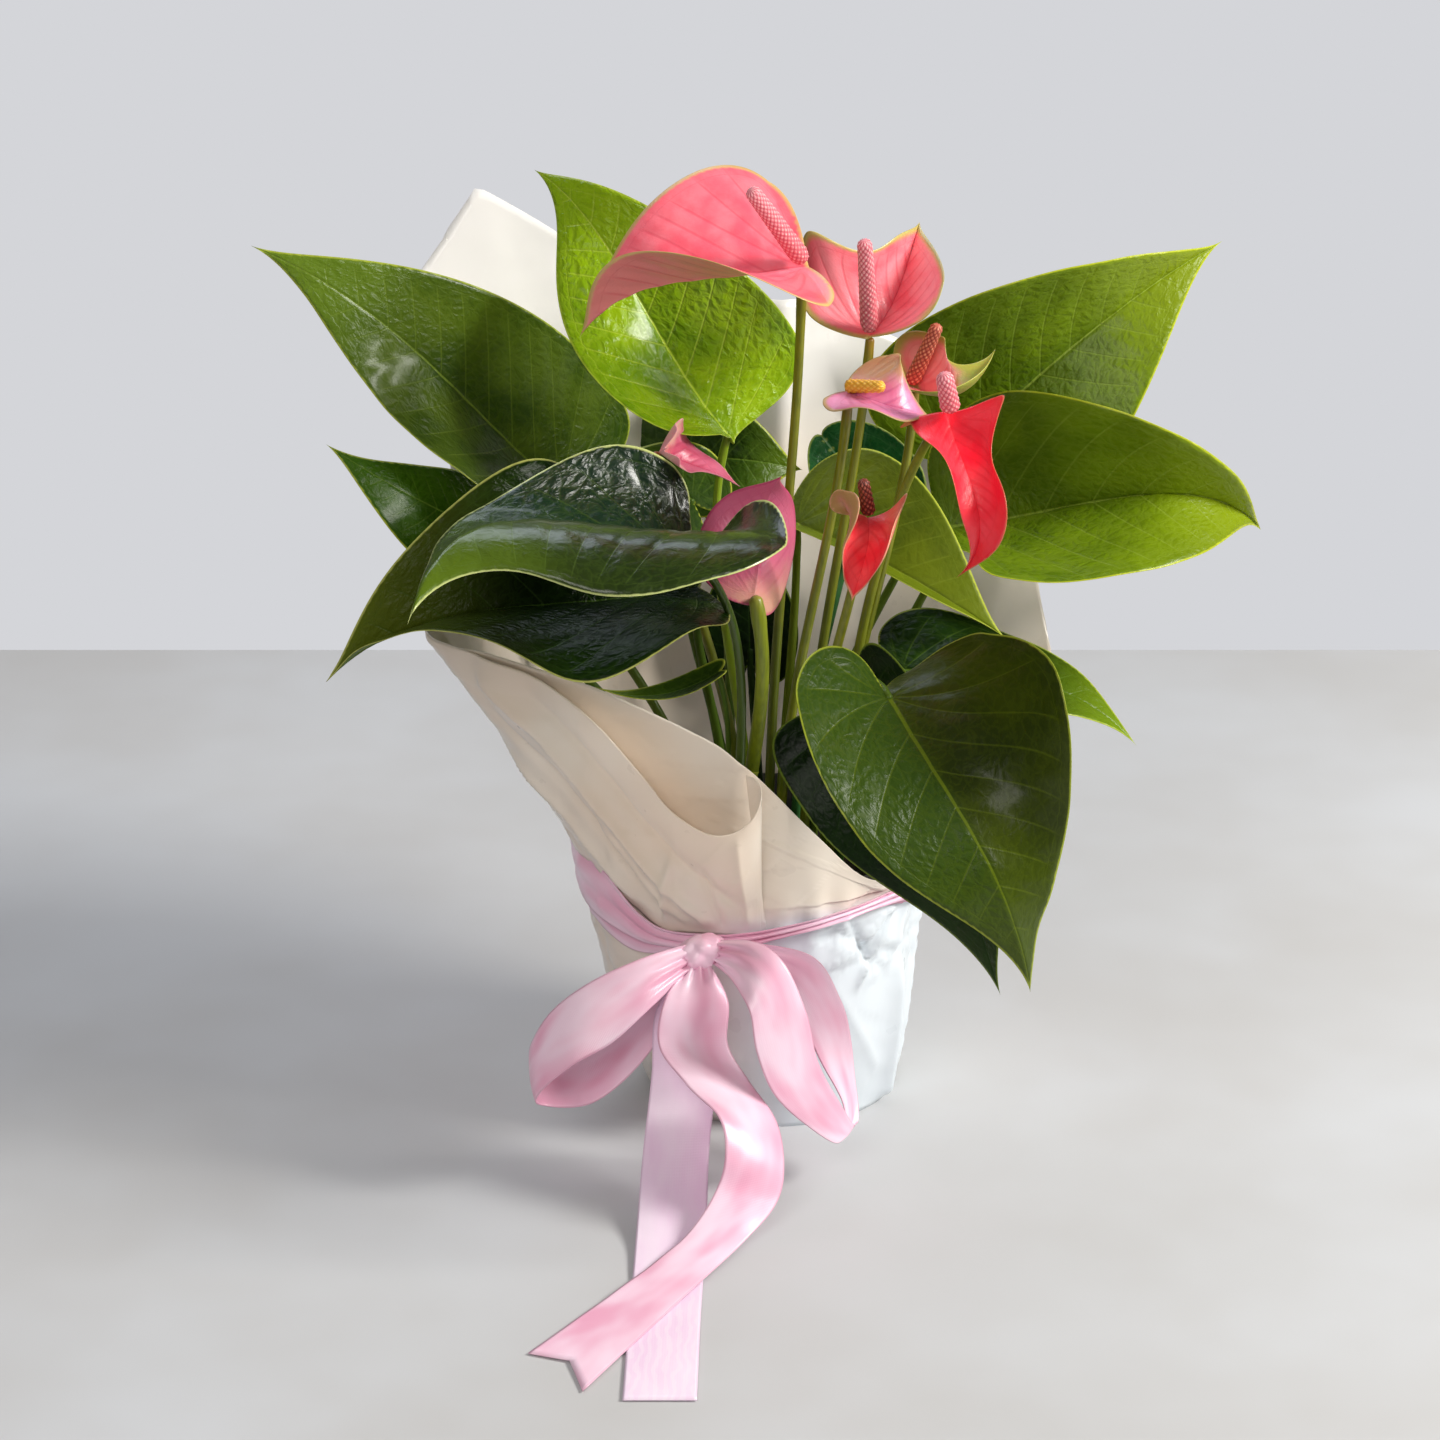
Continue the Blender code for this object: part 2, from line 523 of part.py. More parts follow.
def plain_rows(azimuth):
    """Rows of points of the paper's outer face without its pocket, from the floor to the rim."""
    stations = np.array(PAPER_RIM, float)
    rim_height = np.interp(azimuth, stations[:, 0], stations[:, 2], period=360)
    rows = [around(azimuth, wall_reach(azimuth, z), z) for z in PAPER_ROWS]
    for share in np.linspace(0, 1, FLARE_STEPS + 1)[1:]:
        height = PAPER_ROWS[-1] + (rim_height - PAPER_ROWS[-1]) * share
        rows.append(around(azimuth, flare_reach(azimuth, height), height))
    return np.array(rows)


def folded_rows(azimuth):
    """The same rows with five more below the flare: in front they go out to the pocket's lip and back in."""
    stations = np.array(PAPER_RIM, float)
    rim_height = np.interp(azimuth, stations[:, 0], stations[:, 2], period=360)
    lip_stations = np.array(POCKET_LIP, float)
    lip_turns = np.degrees(np.arctan2(lip_stations[:, 1], lip_stations[:, 0])) % 360
    lip_reach = np.interp(azimuth, lip_turns, np.hypot(lip_stations[:, 0], lip_stations[:, 1]))
    lip_height = np.interp(azimuth, lip_turns, lip_stations[:, 2])
    folded = (azimuth >= POCKET_AZIMUTHS[0]) & (azimuth <= POCKET_AZIMUTHS[1])
    mouth = np.where(folded, lip_height - POCKET_DEPTH, POCKET_FOOT + MOUTH_SHARE * (rim_height - POCKET_FOOT))
    foot = around(azimuth, flare_reach(azimuth, POCKET_FOOT), POCKET_FOOT)
    lip = around(azimuth, lip_reach, lip_height)
    inward = -unit(lip * [1, 1, 0])
    swell = (foot + lip) / 2 - inward * POCKET_SWELL
    behind = around(azimuth, flare_reach(azimuth, mouth), mouth)
    rows = [around(azimuth, wall_reach(azimuth, z), z) for z in PAPER_ROWS]
    pocket = (foot, swell, lip, lip + inward * LIP_THICK, behind)
    for share, fold in zip(np.linspace(0, 1, len(pocket)), pocket):
        height = POCKET_FOOT + (mouth - POCKET_FOOT) * share
        plain = around(azimuth, flare_reach(azimuth, height), height)
        rows.append(np.where(folded[:, None], fold, plain))
    for share in np.linspace(0, 1, FLARE_STEPS + 1)[1:]:
        height = mouth + (rim_height - mouth) * share
        rows.append(around(azimuth, flare_reach(azimuth, height), height))
    return np.array(rows)


def shell_solid(outer, rows, thickness):
    """Cup with a flat floor: the outer rows, then the plain rows moved in by the thickness, down to the floor."""
    outward = rows * [1, 1, 0]
    reach = np.linalg.norm(outward, axis=-1, keepdims=True)
    inner = rows - outward / reach * thickness
    inner[0, :, 2] = thickness
    return ring_solid(np.concatenate([outer, inner[::-1]]))


def strip_solid(route, cross, steps=RIBBON_STEPS, thickness=RIBBON_THICK):
    """Flat strip along a smooth route; cross gives the way across it at the start, the middle and the end."""
    line = through(route, steps)
    share = np.linspace(0, 1, len(line))
    cross = np.asarray(cross, float)
    across = np.stack([np.interp(share, (0, 0.5, 1), cross[:, axis]) for axis in range(3)], 1)
    ahead = unit(np.gradient(line, axis=0))
    across = unit(across - (across * ahead).sum(1, keepdims=True) * ahead)
    normal = np.cross(ahead, across)
    half = across * RIBBON_WIDTH / 2 * np.clip(0.35 + 4 * share, 0.35, 1)[:, None]
    lift = normal * thickness / 2
    rings = np.stack([line - half - lift, line + half - lift, line + half + lift, line - half + lift], 1)
    return ring_solid(rings)


def loop_strip(route, cross):
    """Ribbon loop: a strip whose two ends are both gathered into the knot."""
    points, faces = strip_solid(route, cross)
    body = points[:-2].reshape(-1, 4, 3)
    middle = body.mean(1, keepdims=True)
    share = np.linspace(0, 1, len(body))
    keep = np.clip(0.35 + 4 * (1 - share), 0.35, 1)[:, None, None]
    body = middle + (body - middle) * keep
    return ring_solid(body)


def band_solid():
    """Ribbon round the wrap, a gap clear of the paper all the way."""
    azimuth = np.arange(PAPER_COLUMNS) * 360.0 / PAPER_COLUMNS
    edges = np.array(BAND_EDGES, float)
    heights = [np.interp(azimuth, edges[:, 0], edges[:, side], period=360) for side in (1, 2)]
    reaches = [wall_reaches(azimuth, z) + GAP + 0.1 for z in heights]
    inner = [around(azimuth, reach, z) for reach, z in zip(reaches, heights)]
    outer = [around(azimuth, reach + RIBBON_THICK, z) for reach, z in zip(reaches, heights)]
    loops = np.stack([inner[0], outer[0], outer[1], inner[1]], 1)
    count = len(loops)
    k = np.arange(4)
    after = (k + 1) % 4
    faces = []
    for i in range(count):
        low, high = 4 * i, 4 * ((i + 1) % count)
        faces.append(np.stack([low + k, high + after, low + after], 1))
        faces.append(np.stack([low + k, high + k, high + after], 1))
    return loops.reshape(-1, 3), np.concatenate(faces)


def knot_solid():
    """Knot: a rounded lump, flatter towards the wrap."""
    turn = np.linspace(0, 2 * math.pi, 10, endpoint=False)
    rings = []
    for tilt in np.linspace(-1.3, 1.3, 6):
        x = KNOT_RADII[0] * math.cos(tilt) * np.cos(turn)
        y = KNOT_RADII[1] * math.cos(tilt) * np.sin(turn)
        rings.append(np.stack([x, y, KNOT_RADII[2] * math.sin(tilt) * np.ones_like(turn)], 1) + KNOT_CENTRE)
    return ring_solid(rings)


def turned_solid(profile, sides):
    """Closed solid turned round the Z axis from an open profile of (radius, height) pairs."""
    turn = np.linspace(0, 2 * math.pi, sides, endpoint=False)
    rings = [np.stack([r * np.cos(turn), r * np.sin(turn), z * np.ones_like(turn)], 1) for r, z in profile]
    return ring_solid(rings)


def material(name):
    """Principled material of that colour and roughness."""
    found = bpy.data.materials.get(name)
    if found:
        return found
    colour, rough = COLOURS[name]
    made = bpy.data.materials.new(name)
    made.use_nodes = True
    shader = made.node_tree.nodes["Principled BSDF"]
    shader.inputs["Base Color"].default_value = (*colour, 1.0)
    shader.inputs["Roughness"].default_value = rough
    shader.inputs["Metallic"].default_value = 0.0
    return made


def add(name, solid, look, smooth=True):
    """Object from points in millimetres and triangles."""
    points, faces = solid
    mesh = bpy.data.meshes.new(name)
    mesh.from_pydata((np.asarray(points) * MM).tolist(), [], np.asarray(faces).tolist())
    mesh.validate()
    mesh.update()
    if smooth:
        mesh.shade_smooth()
        mesh.set_sharp_from_angle(angle=math.radians(50))
    mesh.materials.append(material(look))
    piece = bpy.data.objects.new(name, mesh)
    bpy.context.scene.collection.objects.link(piece)
    return piece


def combine(target, tools, operation, solver="EXACT"):
    """Applies one Boolean of a collection of tools to the target and removes the tools."""
    group = bpy.data.collections.new("tools")
    bpy.context.scene.collection.children.link(group)
    for tool in tools:
        bpy.context.scene.collection.objects.unlink(tool)
        group.objects.link(tool)
    step = target.modifiers.new(operation.lower(), "BOOLEAN")
    step.operation = operation
    step.operand_type = "COLLECTION"
    step.collection = group
    step.solver = solver
    graph = bpy.context.evaluated_depsgraph_get()
    joined = bpy.data.meshes.new_from_object(target.evaluated_get(graph))
    target.modifiers.clear()
    target.data = joined
    for tool in tools:
        bpy.data.objects.remove(tool)
    bpy.data.collections.remove(group)
    return target


def leaf_stalk(blade):
    """Radii of a leaf's stalk in the soil and at the joint: the smallest leaf has a finer one."""
    return LEAF_STALK if blade.half[0] > 10 else SMALL_STALK


def build_leaf(number, blade, root):
    """Blade with its stalk, which comes up into the joint from behind and below."""
    joint = np.asarray(blade.joint, float)
    normal = joint_normal(blade)
    arrive = unit(STALK_WAYS.get(f"leaf_{number}", unit(joint - root) + 0.7 * normal))
    leaf = add(f"leaf_{number}", blade_solid(blade, LEAF_RIM), "leaf")
    support = add("support", stalk(root, joint + 0.9 * normal, arrive, leaf_stalk(blade), False), "leaf")
    return combine(leaf, [support], "UNION", "MANIFOLD")


def build_bloom(number, blade, root):
    """Spathe, its stalk seated under the joint and, where it is open, the spadix seated above it."""
    spathe = blade_solid(blade, SPATHE_RIM)
    add(f"spathe_{number}", spathe, "spathe")
    radii = THICK_STALKS.get(number, BLOOM_STALK)
    joint = np.asarray(blade.joint, float)
    normal = joint_normal(blade)
    arrive = unit(STALK_WAYS.get(f"stem_{number}", unit(joint - root) + 0.35 * normal))
    stem = seat(lambda offset: stalk(root, joint - normal * offset, arrive, radii, True), spathe)
    add(f"stem_{number}", stem, "stem")
    if number in SPADICES:
        spadix = seat(lambda offset: spadix_solid(joint + normal * offset, *SPADICES[number]), spathe)
        add(f"spadix_{number}", spadix, "spadix")


def build_pot():
    """Nursery pot: tapered wall, stepped rim, flat floor with a ring of drain holes."""
    rim = POT_RIM_RADIUS
    step = POT_HEIGHT - POT_RIM_DEPTH
    profile = (
        (POT_BASE_RADIUS, POT_LIFT), (POT_NECK_RADIUS, step), (rim, step + 0.5), (rim, POT_HEIGHT),
        (rim - POT_WALL, POT_HEIGHT), (POT_NECK_RADIUS - POT_WALL, step - 1.0),
        (POT_BASE_RADIUS - POT_WALL, POT_LIFT + POT_FLOOR),
    )
    pot = add("grow_pot", turned_solid(profile, POT_SIDES), "pot")
    drills = []
    for i in range(DRAIN_HOLES):
        turn = 2 * math.pi * i / DRAIN_HOLES
        centre = np.array([DRAIN_RING * math.cos(turn), DRAIN_RING * math.sin(turn), POT_LIFT])
        drills.append(add("drill", tube((centre - [0, 0, 4], centre + [0, 0, 5]), DRAIN_RADIUS, 8), "pot"))
    combine(pot, drills, "DIFFERENCE")


def build_soil(roots):
    """Soil: fills the pot up to below its rim, with a hole for each stalk."""
    low = POT_LIFT + POT_FLOOR + GAP
    slope = (POT_NECK_RADIUS - POT_BASE_RADIUS) / (POT_HEIGHT - POT_RIM_DEPTH - POT_LIFT)
    inside = POT_BASE_RADIUS - POT_WALL - 1.0
    edge = inside + slope * (SOIL_TOP - low)
    shoulder = (edge - 0.8, SOIL_TOP - SOIL_DOME)
    profile = ((inside, low), shoulder, (edge * 0.7, SOIL_TOP), (edge * 0.3, SOIL_TOP))
    soil = add("soil", turned_solid(profile, SOIL_SIDES), "soil")
    drills = []
    for root, radius in roots:
        ends = (root - [0, 0, ROOT_DEPTH + HOLE_GAP], root + [0, 0, 6])
        drills.append(add("drill", tube(ends, radius + HOLE_GAP, STALK_SIDES), "soil"))
    combine(soil, drills, "DIFFERENCE")


def build_wrap():
    """Paper wrap: the shell round the pot with its high back and the pocket folded at the front."""
    azimuth = np.arange(PAPER_COLUMNS) * 360.0 / PAPER_COLUMNS
    add("wrap", shell_solid(folded_rows(azimuth), plain_rows(azimuth), PAPER), "paper")


def build_ribbon():
    """Satin ribbon: the band round the wrap, the knot, two loops and two tails, tied from one length."""
    ribbon = add("ribbon", band_solid(), "ribbon")
    pieces = [add("knot", knot_solid(), "ribbon")]
    pieces += [add(f"loop_{side}", loop_strip(*spec), "ribbon") for side, spec in LOOPS.items()]
    pieces += [add(f"tail_{side}", strip_solid(*spec), "ribbon") for side, spec in TAILS.items()]
    combine(ribbon, pieces, "UNION", "MANIFOLD")


def main():
    for old in list(bpy.data.objects):
        bpy.data.objects.remove(old)
    roots = spread_roots()
    holes = []
    for number, blade in LEAVES.items():
        root = roots[f"leaf_{number}"]
        build_leaf(number, blade, root)
        holes.append((root, leaf_stalk(blade)[0]))
    for number, blade in SPATHES.items():
        root = roots[f"stem_{number}"]
        build_bloom(number, blade, root)
        holes.append((root, THICK_STALKS.get(number, BLOOM_STALK)[0]))
    build_pot()
    build_soil(holes)
    build_wrap()
    build_ribbon()


main()
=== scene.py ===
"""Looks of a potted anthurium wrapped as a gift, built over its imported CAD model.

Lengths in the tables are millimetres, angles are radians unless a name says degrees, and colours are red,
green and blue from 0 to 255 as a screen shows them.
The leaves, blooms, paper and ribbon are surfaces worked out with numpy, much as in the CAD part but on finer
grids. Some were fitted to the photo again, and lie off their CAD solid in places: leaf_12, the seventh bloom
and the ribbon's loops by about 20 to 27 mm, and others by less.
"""

import logging
import math
from dataclasses import dataclass, field
from enum import Enum

import bpy
import numpy as np
from mathutils import Matrix


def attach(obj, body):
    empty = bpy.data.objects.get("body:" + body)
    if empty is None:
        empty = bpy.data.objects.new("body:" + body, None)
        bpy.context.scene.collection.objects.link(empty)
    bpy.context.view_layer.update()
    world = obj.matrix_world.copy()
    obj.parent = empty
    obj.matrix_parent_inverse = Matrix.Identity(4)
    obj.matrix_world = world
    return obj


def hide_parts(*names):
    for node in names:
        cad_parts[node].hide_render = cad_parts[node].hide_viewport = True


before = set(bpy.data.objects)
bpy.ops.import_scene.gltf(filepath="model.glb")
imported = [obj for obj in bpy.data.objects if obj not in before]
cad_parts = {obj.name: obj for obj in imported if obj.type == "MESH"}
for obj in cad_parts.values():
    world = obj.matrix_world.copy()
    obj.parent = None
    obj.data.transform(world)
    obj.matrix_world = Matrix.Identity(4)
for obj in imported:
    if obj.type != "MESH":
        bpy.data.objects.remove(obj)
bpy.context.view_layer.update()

LOG = logging.getLogger("anthurium")
BODY = "root"
MM = 0.001

Array = np.ndarray
Triple = tuple[float, float, float]
Colour = tuple[float, float, float]
Pair = tuple[float, float]
Quad = tuple[float, float, float, float]
FoldLine = tuple[float, float, float, float, float, float]
Rails = tuple[tuple[Triple, Triple], ...]
Material = bpy.types.Material
Node = bpy.types.Node
Socket = bpy.types.NodeSocket


# Small vector and curve helpers


def unit(v: Array) -> Array:
    """Returns the vector or the rows of vectors with length 1."""
    v = np.asarray(v, float)
    return v / np.maximum(np.linalg.norm(v, axis=-1, keepdims=True), 1e-12)


def smooth(low: float, high: float, x: Array) -> Array:
    """Smooth step from 0 at low to 1 at high, which may be below low: 3 s squared less 2 s cubed."""
    share = np.clip((np.asarray(x, float) - low) / (high - low), 0, 1)
    return share * share * (3 - 2 * share)


def bell(x: Array, middle: float, width: float) -> Array:
    """Bell curve that is 1 at the middle and falls to 1/e a width away."""
    return np.exp(-((x - middle) / width) ** 2)


def round_turn(count: int) -> Array:
    """Angles of a count of points spread evenly round a circle."""
    return np.linspace(0, 2 * math.pi, count, endpoint=False)


def bezier(points: Array, count: int, closed_end: bool = True) -> Array:
    """Points on a cubic Bezier curve, from the four Bernstein weights of t.

    Args:
        points: the four control points.
        count: number of steps.
        closed_end: whether the last point is kept.

    Returns:
        Array of points along the curve.
    """
    p = np.asarray(points, float)
    t = np.linspace(0, 1, count + 1)[:, None]
    curve = (1 - t) ** 3 * p[0] + 3 * t * (1 - t) ** 2 * p[1] + 3 * t * t * (1 - t) * p[2] + t ** 3 * p[3]
    return curve if closed_end else curve[:-1]


def through(points: Array, steps: int) -> Array:
    """Smooth curve through the points, with a cubic for each span.

    The slope at a point is half the gap between its neighbours.

    Args:
        points: points to pass through.
        steps: number of steps between each two of them.

    Returns:
        Array of points along the curve.
    """
    p = np.asarray(points, float)
    q = np.concatenate([[2 * p[0] - p[1]], p, [2 * p[-1] - p[-2]]])
    t = np.linspace(0, 1, steps + 1)[:-1, None]
    runs = []
    for a, b, c, d in zip(q, q[1:], q[2:], q[3:]):
        bend = (2 * a - 5 * b + 4 * c - d) * t ** 2 + (3 * b - a - 3 * c + d) * t ** 3
        runs.append(0.5 * (2 * b + (c - a) * t + bend))
    return np.concatenate(runs + [p[-1:]])


def ripple(x: Array, y: Array, wave: float, seed: int) -> Array:
    """Slow unevenness from -1 to 1: the mean of four sine waves placed by random numbers.

    Args:
        x: first flat coordinate.
        y: second flat coordinate.
        wave: mean wavelength in the same units.
        seed: seed of the random numbers.

    Returns:
        Array of heights.
    """
    rng = np.random.default_rng(seed)
    total = np.zeros(np.broadcast(x, y).shape)
    for _ in range(4):
        turn, phase = rng.uniform(0, 2 * math.pi, 2)
        length = wave * rng.uniform(0.7, 1.4)
        total += np.sin(2 * math.pi * (x * math.cos(turn) + y * math.sin(turn)) / length + phase)
    return total / 4


# Meshes


@dataclass
class Solid:
    """Points in millimetres, faces as rows of four point numbers, and values at the points.

    A fourth number of -1 marks a triangle.
    """

    points: Array
    faces: Array
    values: dict[str, Array] = field(default_factory=dict)

    def joined(self, other: "Solid") -> "Solid":
        """Both solids as one; a value that only one of them has is zero on the other.

        Args:
            other: the solid to add.

        Returns:
            The joined solid.
        """
        moved = np.where(other.faces >= 0, other.faces + len(self.points), -1)
        values = {}
        for name in {**self.values, **other.values}:
            shape = self.values.get(name, other.values.get(name)).shape[1:]
            mine = self.values.get(name, np.zeros((len(self.points), *shape)))
            theirs = other.values.get(name, np.zeros((len(other.points), *shape)))
            values[name] = np.concatenate([mine, theirs])
        return Solid(np.concatenate([self.points, other.points]), np.concatenate([self.faces, moved]), values)


def triangles(faces: Array) -> Array:
    """Triangles as rows of four, the last -1."""
    return np.concatenate([faces, np.full((len(faces), 1), -1)], 1)


def grid_faces(rows: int, columns: int, closed: bool) -> Array:
    """Four-sided faces of a grid of points laid row after row.

    Args:
        rows: number of rows.
        columns: number of points in a row.
        closed: whether each row closes on itself.

    Returns:
        Array of faces.
    """
    k = np.arange(columns if closed else columns - 1)
    after = (k + 1) % columns
    low = np.arange(rows - 1)[:, None] * columns
    high = low + columns
    return np.stack([low + k, low + after, high + after, high + k], -1).reshape(-1, 4)


def ring_solid(rings: Array, values: dict[str, Array] | None = None) -> Solid:
    """Closed solid through rings of equally many points, with a fan on each end.

    Args:
        rings: array of rings, each an array of points, ordered so that the faces look outwards.
        values: values for each ring and point.

    Returns:
        The solid; each end fan's middle takes the mean of its ring.
    """
    count, sides = rings.shape[:2]
    k = np.arange(sides)
    after = (k + 1) % sides
    first, last, end = count * sides, count * sides + 1, (count - 1) * sides
    fans = [np.stack([0 * k + first, after, k], 1), np.stack([0 * k + last, end + k, end + after], 1)]
    faces = np.concatenate([grid_faces(count, sides, True), triangles(np.concatenate(fans))])
    points = np.concatenate([rings.reshape(-1, 3), rings[:1].mean(1), rings[-1:].mean(1)])
    kept = {}
    for name, value in (values or {}).items():
        flat = value.reshape(count * sides, -1)
        ends = [value[:1].mean(1).reshape(1, -1), value[-1:].mean(1).reshape(1, -1)]
        kept[name] = np.concatenate([flat, *ends])
    return Solid(points, faces, kept)


def sheet_solid(middle: Array, thick: float, values: dict[str, Array]) -> Solid:
    """Closed thin sheet: a grid moved half its thickness each way along its normals, and a wall round it.

    Args:
        middle: grid of points of the sheet's middle.
        thick: thickness.
        values: values for each point of the grid.

    Returns:
        The solid.
    """
    rows, columns = middle.shape[:2]
    count = rows * columns
    front = grid_faces(rows, columns, False)
    index = np.arange(count).reshape(rows, columns)
    rim = np.concatenate([index[0, :-1], index[:-1, -1], index[-1, :0:-1], index[:0:-1, 0]])
    after = np.roll(rim, -1)
    wall = np.stack([after, rim, rim + count, after + count], 1)
    shift = grid_normal(middle) * thick / 2
    points = np.concatenate([(middle + shift).reshape(-1, 3), (middle - shift).reshape(-1, 3)])
    kept = {name: np.tile(value.reshape(count, -1), (2, 1)) for name, value in values.items()}
    return Solid(points, np.concatenate([front, front[:, ::-1] + count, wall]), kept)


def grid_normal(points: Array, wrap_columns: bool = False) -> Array:
    """Unit normals of a grid: the cross product of its differences along the rows and across them.

    Args:
        points: grid of points.
        wrap_columns: whether each row closes on itself.

    Returns:
        Grid of unit normals.
    """
    down = np.gradient(points, axis=0)
    if wrap_columns:
        along = (np.roll(points, -1, 1) - np.roll(points, 1, 1)) / 2
    else:
        along = np.gradient(points, axis=1)
    return unit(np.cross(along, down))


def add_object(name: str, data: bpy.types.ID) -> bpy.types.Object:
    """Adds an object to the scene.

    Args:
        name: its name.
        data: its mesh, camera or light.

    Returns:
        The object.
    """
    made = bpy.data.objects.new(name, data)
    bpy.context.scene.collection.objects.link(made)
    return made


def make_piece(name: str, solid: Solid, look: Material, nodes: list[str]) -> bpy.types.Object:
    """Object at the origin from a solid, riding on the pot's body and standing for its CAD nodes.

    Args:
        name: name of the piece.
        solid: its shape in millimetres.
        look: its material.
        nodes: CAD nodes that it stands for.

    Returns:
        The new object.
    """
    mesh = bpy.data.meshes.new(name)
    faces = [row[:3] if row[3] < 0 else row for row in solid.faces.tolist()]
    mesh.from_pydata((solid.points * MM).tolist(), [], faces)
    for key, value in solid.values.items():
        flat = np.asarray(value, np.float32).reshape(len(solid.points), -1)
        kind, part = ("FLOAT", "value") if flat.shape[1] == 1 else ("FLOAT_VECTOR", "vector")
        mesh.attributes.new(key, kind, "POINT").data.foreach_set(part, flat.ravel())
    mesh.update()
    mesh.shade_smooth()
    mesh.materials.append(look)
    piece = add_object(name, mesh)
    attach(piece, BODY)
    if nodes:
        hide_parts(*nodes)
    LOG.info("%s: %d faces", name, len(mesh.polygons))
    return piece


# Node graphs


def linear(colour: Colour) -> list[float]:
    """Light of a screen colour: its parts from 0 to 1 on the screen's curve, nearly the power 2.2."""
    part = np.asarray(colour, float) / 255
    return np.where(part <= 0.04045, part / 12.92, ((part + 0.055) / 1.055) ** 2.4).tolist()


class Graph:
    """Short ways to add nodes to one shader tree."""

    def __init__(self, tree: bpy.types.NodeTree) -> None:
        """Keeps the tree that the nodes go into."""
        self.tree = tree

    def node(self, kind: str, settings: dict | None = None, **inputs: object) -> Node:
        """Adds a node.

        Args:
            kind: the node's type name without ShaderNode.
            settings: properties of the node.
            **inputs: values or sockets for its inputs, with _ for a space in a name.

        Returns:
            The node.
        """
        made = self.tree.nodes.new("ShaderNode" + kind)
        for key, value in (settings or {}).items():
            setattr(made, key, value)
        self.fill(made, **inputs)
        return made

    def fill(self, node: Node, **inputs: object) -> None:
        """Feeds inputs of a node; a name has _ for a space."""
        for key, value in inputs.items():
            self.feed(node.inputs[key.replace("_", " ")], value)

    def group(self, name: str, **inputs: object) -> Node:
        """Node that places a group in this tree, with its inputs as for node."""
        return self.node("Group", {"node_tree": bpy.data.node_groups[name]}, **inputs)

    def feed(self, target: Socket, value: object) -> None:
        """Links a socket, or sets a number, colour or vector, on an input.

        Args:
            target: the input.
            value: an output socket, a number or a row of numbers.
        """
        if isinstance(value, Socket):
            self.tree.links.new(value, target)
        elif target.type == "RGBA" and len(value) == 3:
            target.default_value = (*linear(value), 1.0)
        else:
            target.default_value = value

    def math(self, operation: str, *terms: object) -> Socket:
        """Result of one Math node.

        Args:
            operation: the node's operation.
            *terms: numbers or sockets.

        Returns:
            The output socket.
        """
        made = self.node("Math", {"operation": operation})
        for target, value in zip(made.inputs, terms):
            self.feed(target, value)
        return made.outputs[0]

    def times(self, first: object, second: object) -> Socket:
        """Product of two numbers or sockets."""
        return self.math("MULTIPLY", first, second)

    def times_plus(self, value: object, factor: object, more: object) -> Socket:
        """Value times a factor, and one more term added."""
        return self.math("MULTIPLY_ADD", value, factor, more)

    def step(self, value: Socket, low: float, high: float, start: float = 0.0, end: float = 1.0) -> Socket:
        """Smooth step of a value between two limits.

        Args:
            value: the value.
            low: where the step starts.
            high: where it ends.
            start: result at low.
            end: result at high.

        Returns:
            The output socket.
        """
        made = self.node("MapRange", {"interpolation_type": "SMOOTHSTEP"}, Value=value)
        limits = (high, low, end, start) if low > high else (low, high, start, end)
        self.fill(made, **dict(zip(("From_Min", "From_Max", "To_Min", "To_Max"), limits)))
        return made.outputs[0]

    def mix(self, share: object, first: object, second: object, blend: str = "MIX") -> Socket:
        """Mix of two colours.

        Args:
            share: share of the second colour.
            first: colour or socket.
            second: colour or socket.
            blend: the node's blend type.

        Returns:
            The output socket.
        """
        made = self.node("Mix", {"data_type": "RGBA", "blend_type": blend})
        for index, value in ((0, share), (6, first), (7, second)):
            self.feed(made.inputs[index], value)
        return made.outputs[2]

    def value(self, name: str) -> tuple[Socket, ...]:
        """Value kept at the points of the mesh: as one number, and as x, y and z.

        Args:
            name: name of the value.

        Returns:
            The number, then the three parts, then the whole vector.
        """
        read = self.node("Attribute", {"attribute_name": name})
        parts = self.node("SeparateXYZ", Vector=read.outputs["Vector"])
        return (read.outputs["Fac"], *parts.outputs, read.outputs["Vector"])

    def noise(self, vector: Socket, scale: float, detail: float = 2.0, rough: float = 0.5) -> Socket:
        """Noise from 0 to 1 at the coordinates."""
        made = self.node("TexNoise", Vector=vector, Scale=scale, Detail=detail, Roughness=rough)
        return made.outputs["Fac"]

    def place(self) -> Socket:
        """Coordinates in the row frame, in metres."""
        return self.node("TexCoord").outputs["Object"]

    def bump(self, height: Socket, strength: float, distance: float, below: Socket | None = None) -> Socket:
        """Normal bent by a height.

        Args:
            height: the height, from 0 to 1.
            strength: strength of the bump.
            distance: size in millimetres of a height of 1.
            below: normal of a bump underneath.

        Returns:
            The output socket.
        """
        made = self.node("Bump", Height=height, Strength=strength, Distance=distance * MM)
        if below is not None:
            self.feed(made.inputs["Normal"], below)
        return made.outputs[0]


def new_group(name: str, inputs: tuple[str, ...], outputs: tuple[str, ...]) -> tuple[Graph, Node, Node]:
    """Empty shader node group with number sockets; an input whose name ends in Vector takes a vector.

    Args:
        name: name of the group.
        inputs: names of the inputs.
        outputs: names of the outputs.

    Returns:
        The graph of the group, its input node and its output node.
    """
    tree = bpy.data.node_groups.new(name, "ShaderNodeTree")
    for key in inputs:
        kind = "NodeSocketVector" if key.endswith("Vector") else "NodeSocketFloat"
        tree.interface.new_socket(name=key, in_out="INPUT", socket_type=kind)
    for key in outputs:
        tree.interface.new_socket(name=key, in_out="OUTPUT", socket_type="NodeSocketFloat")
    return Graph(tree), tree.nodes.new("NodeGroupInput"), tree.nodes.new("NodeGroupOutput")


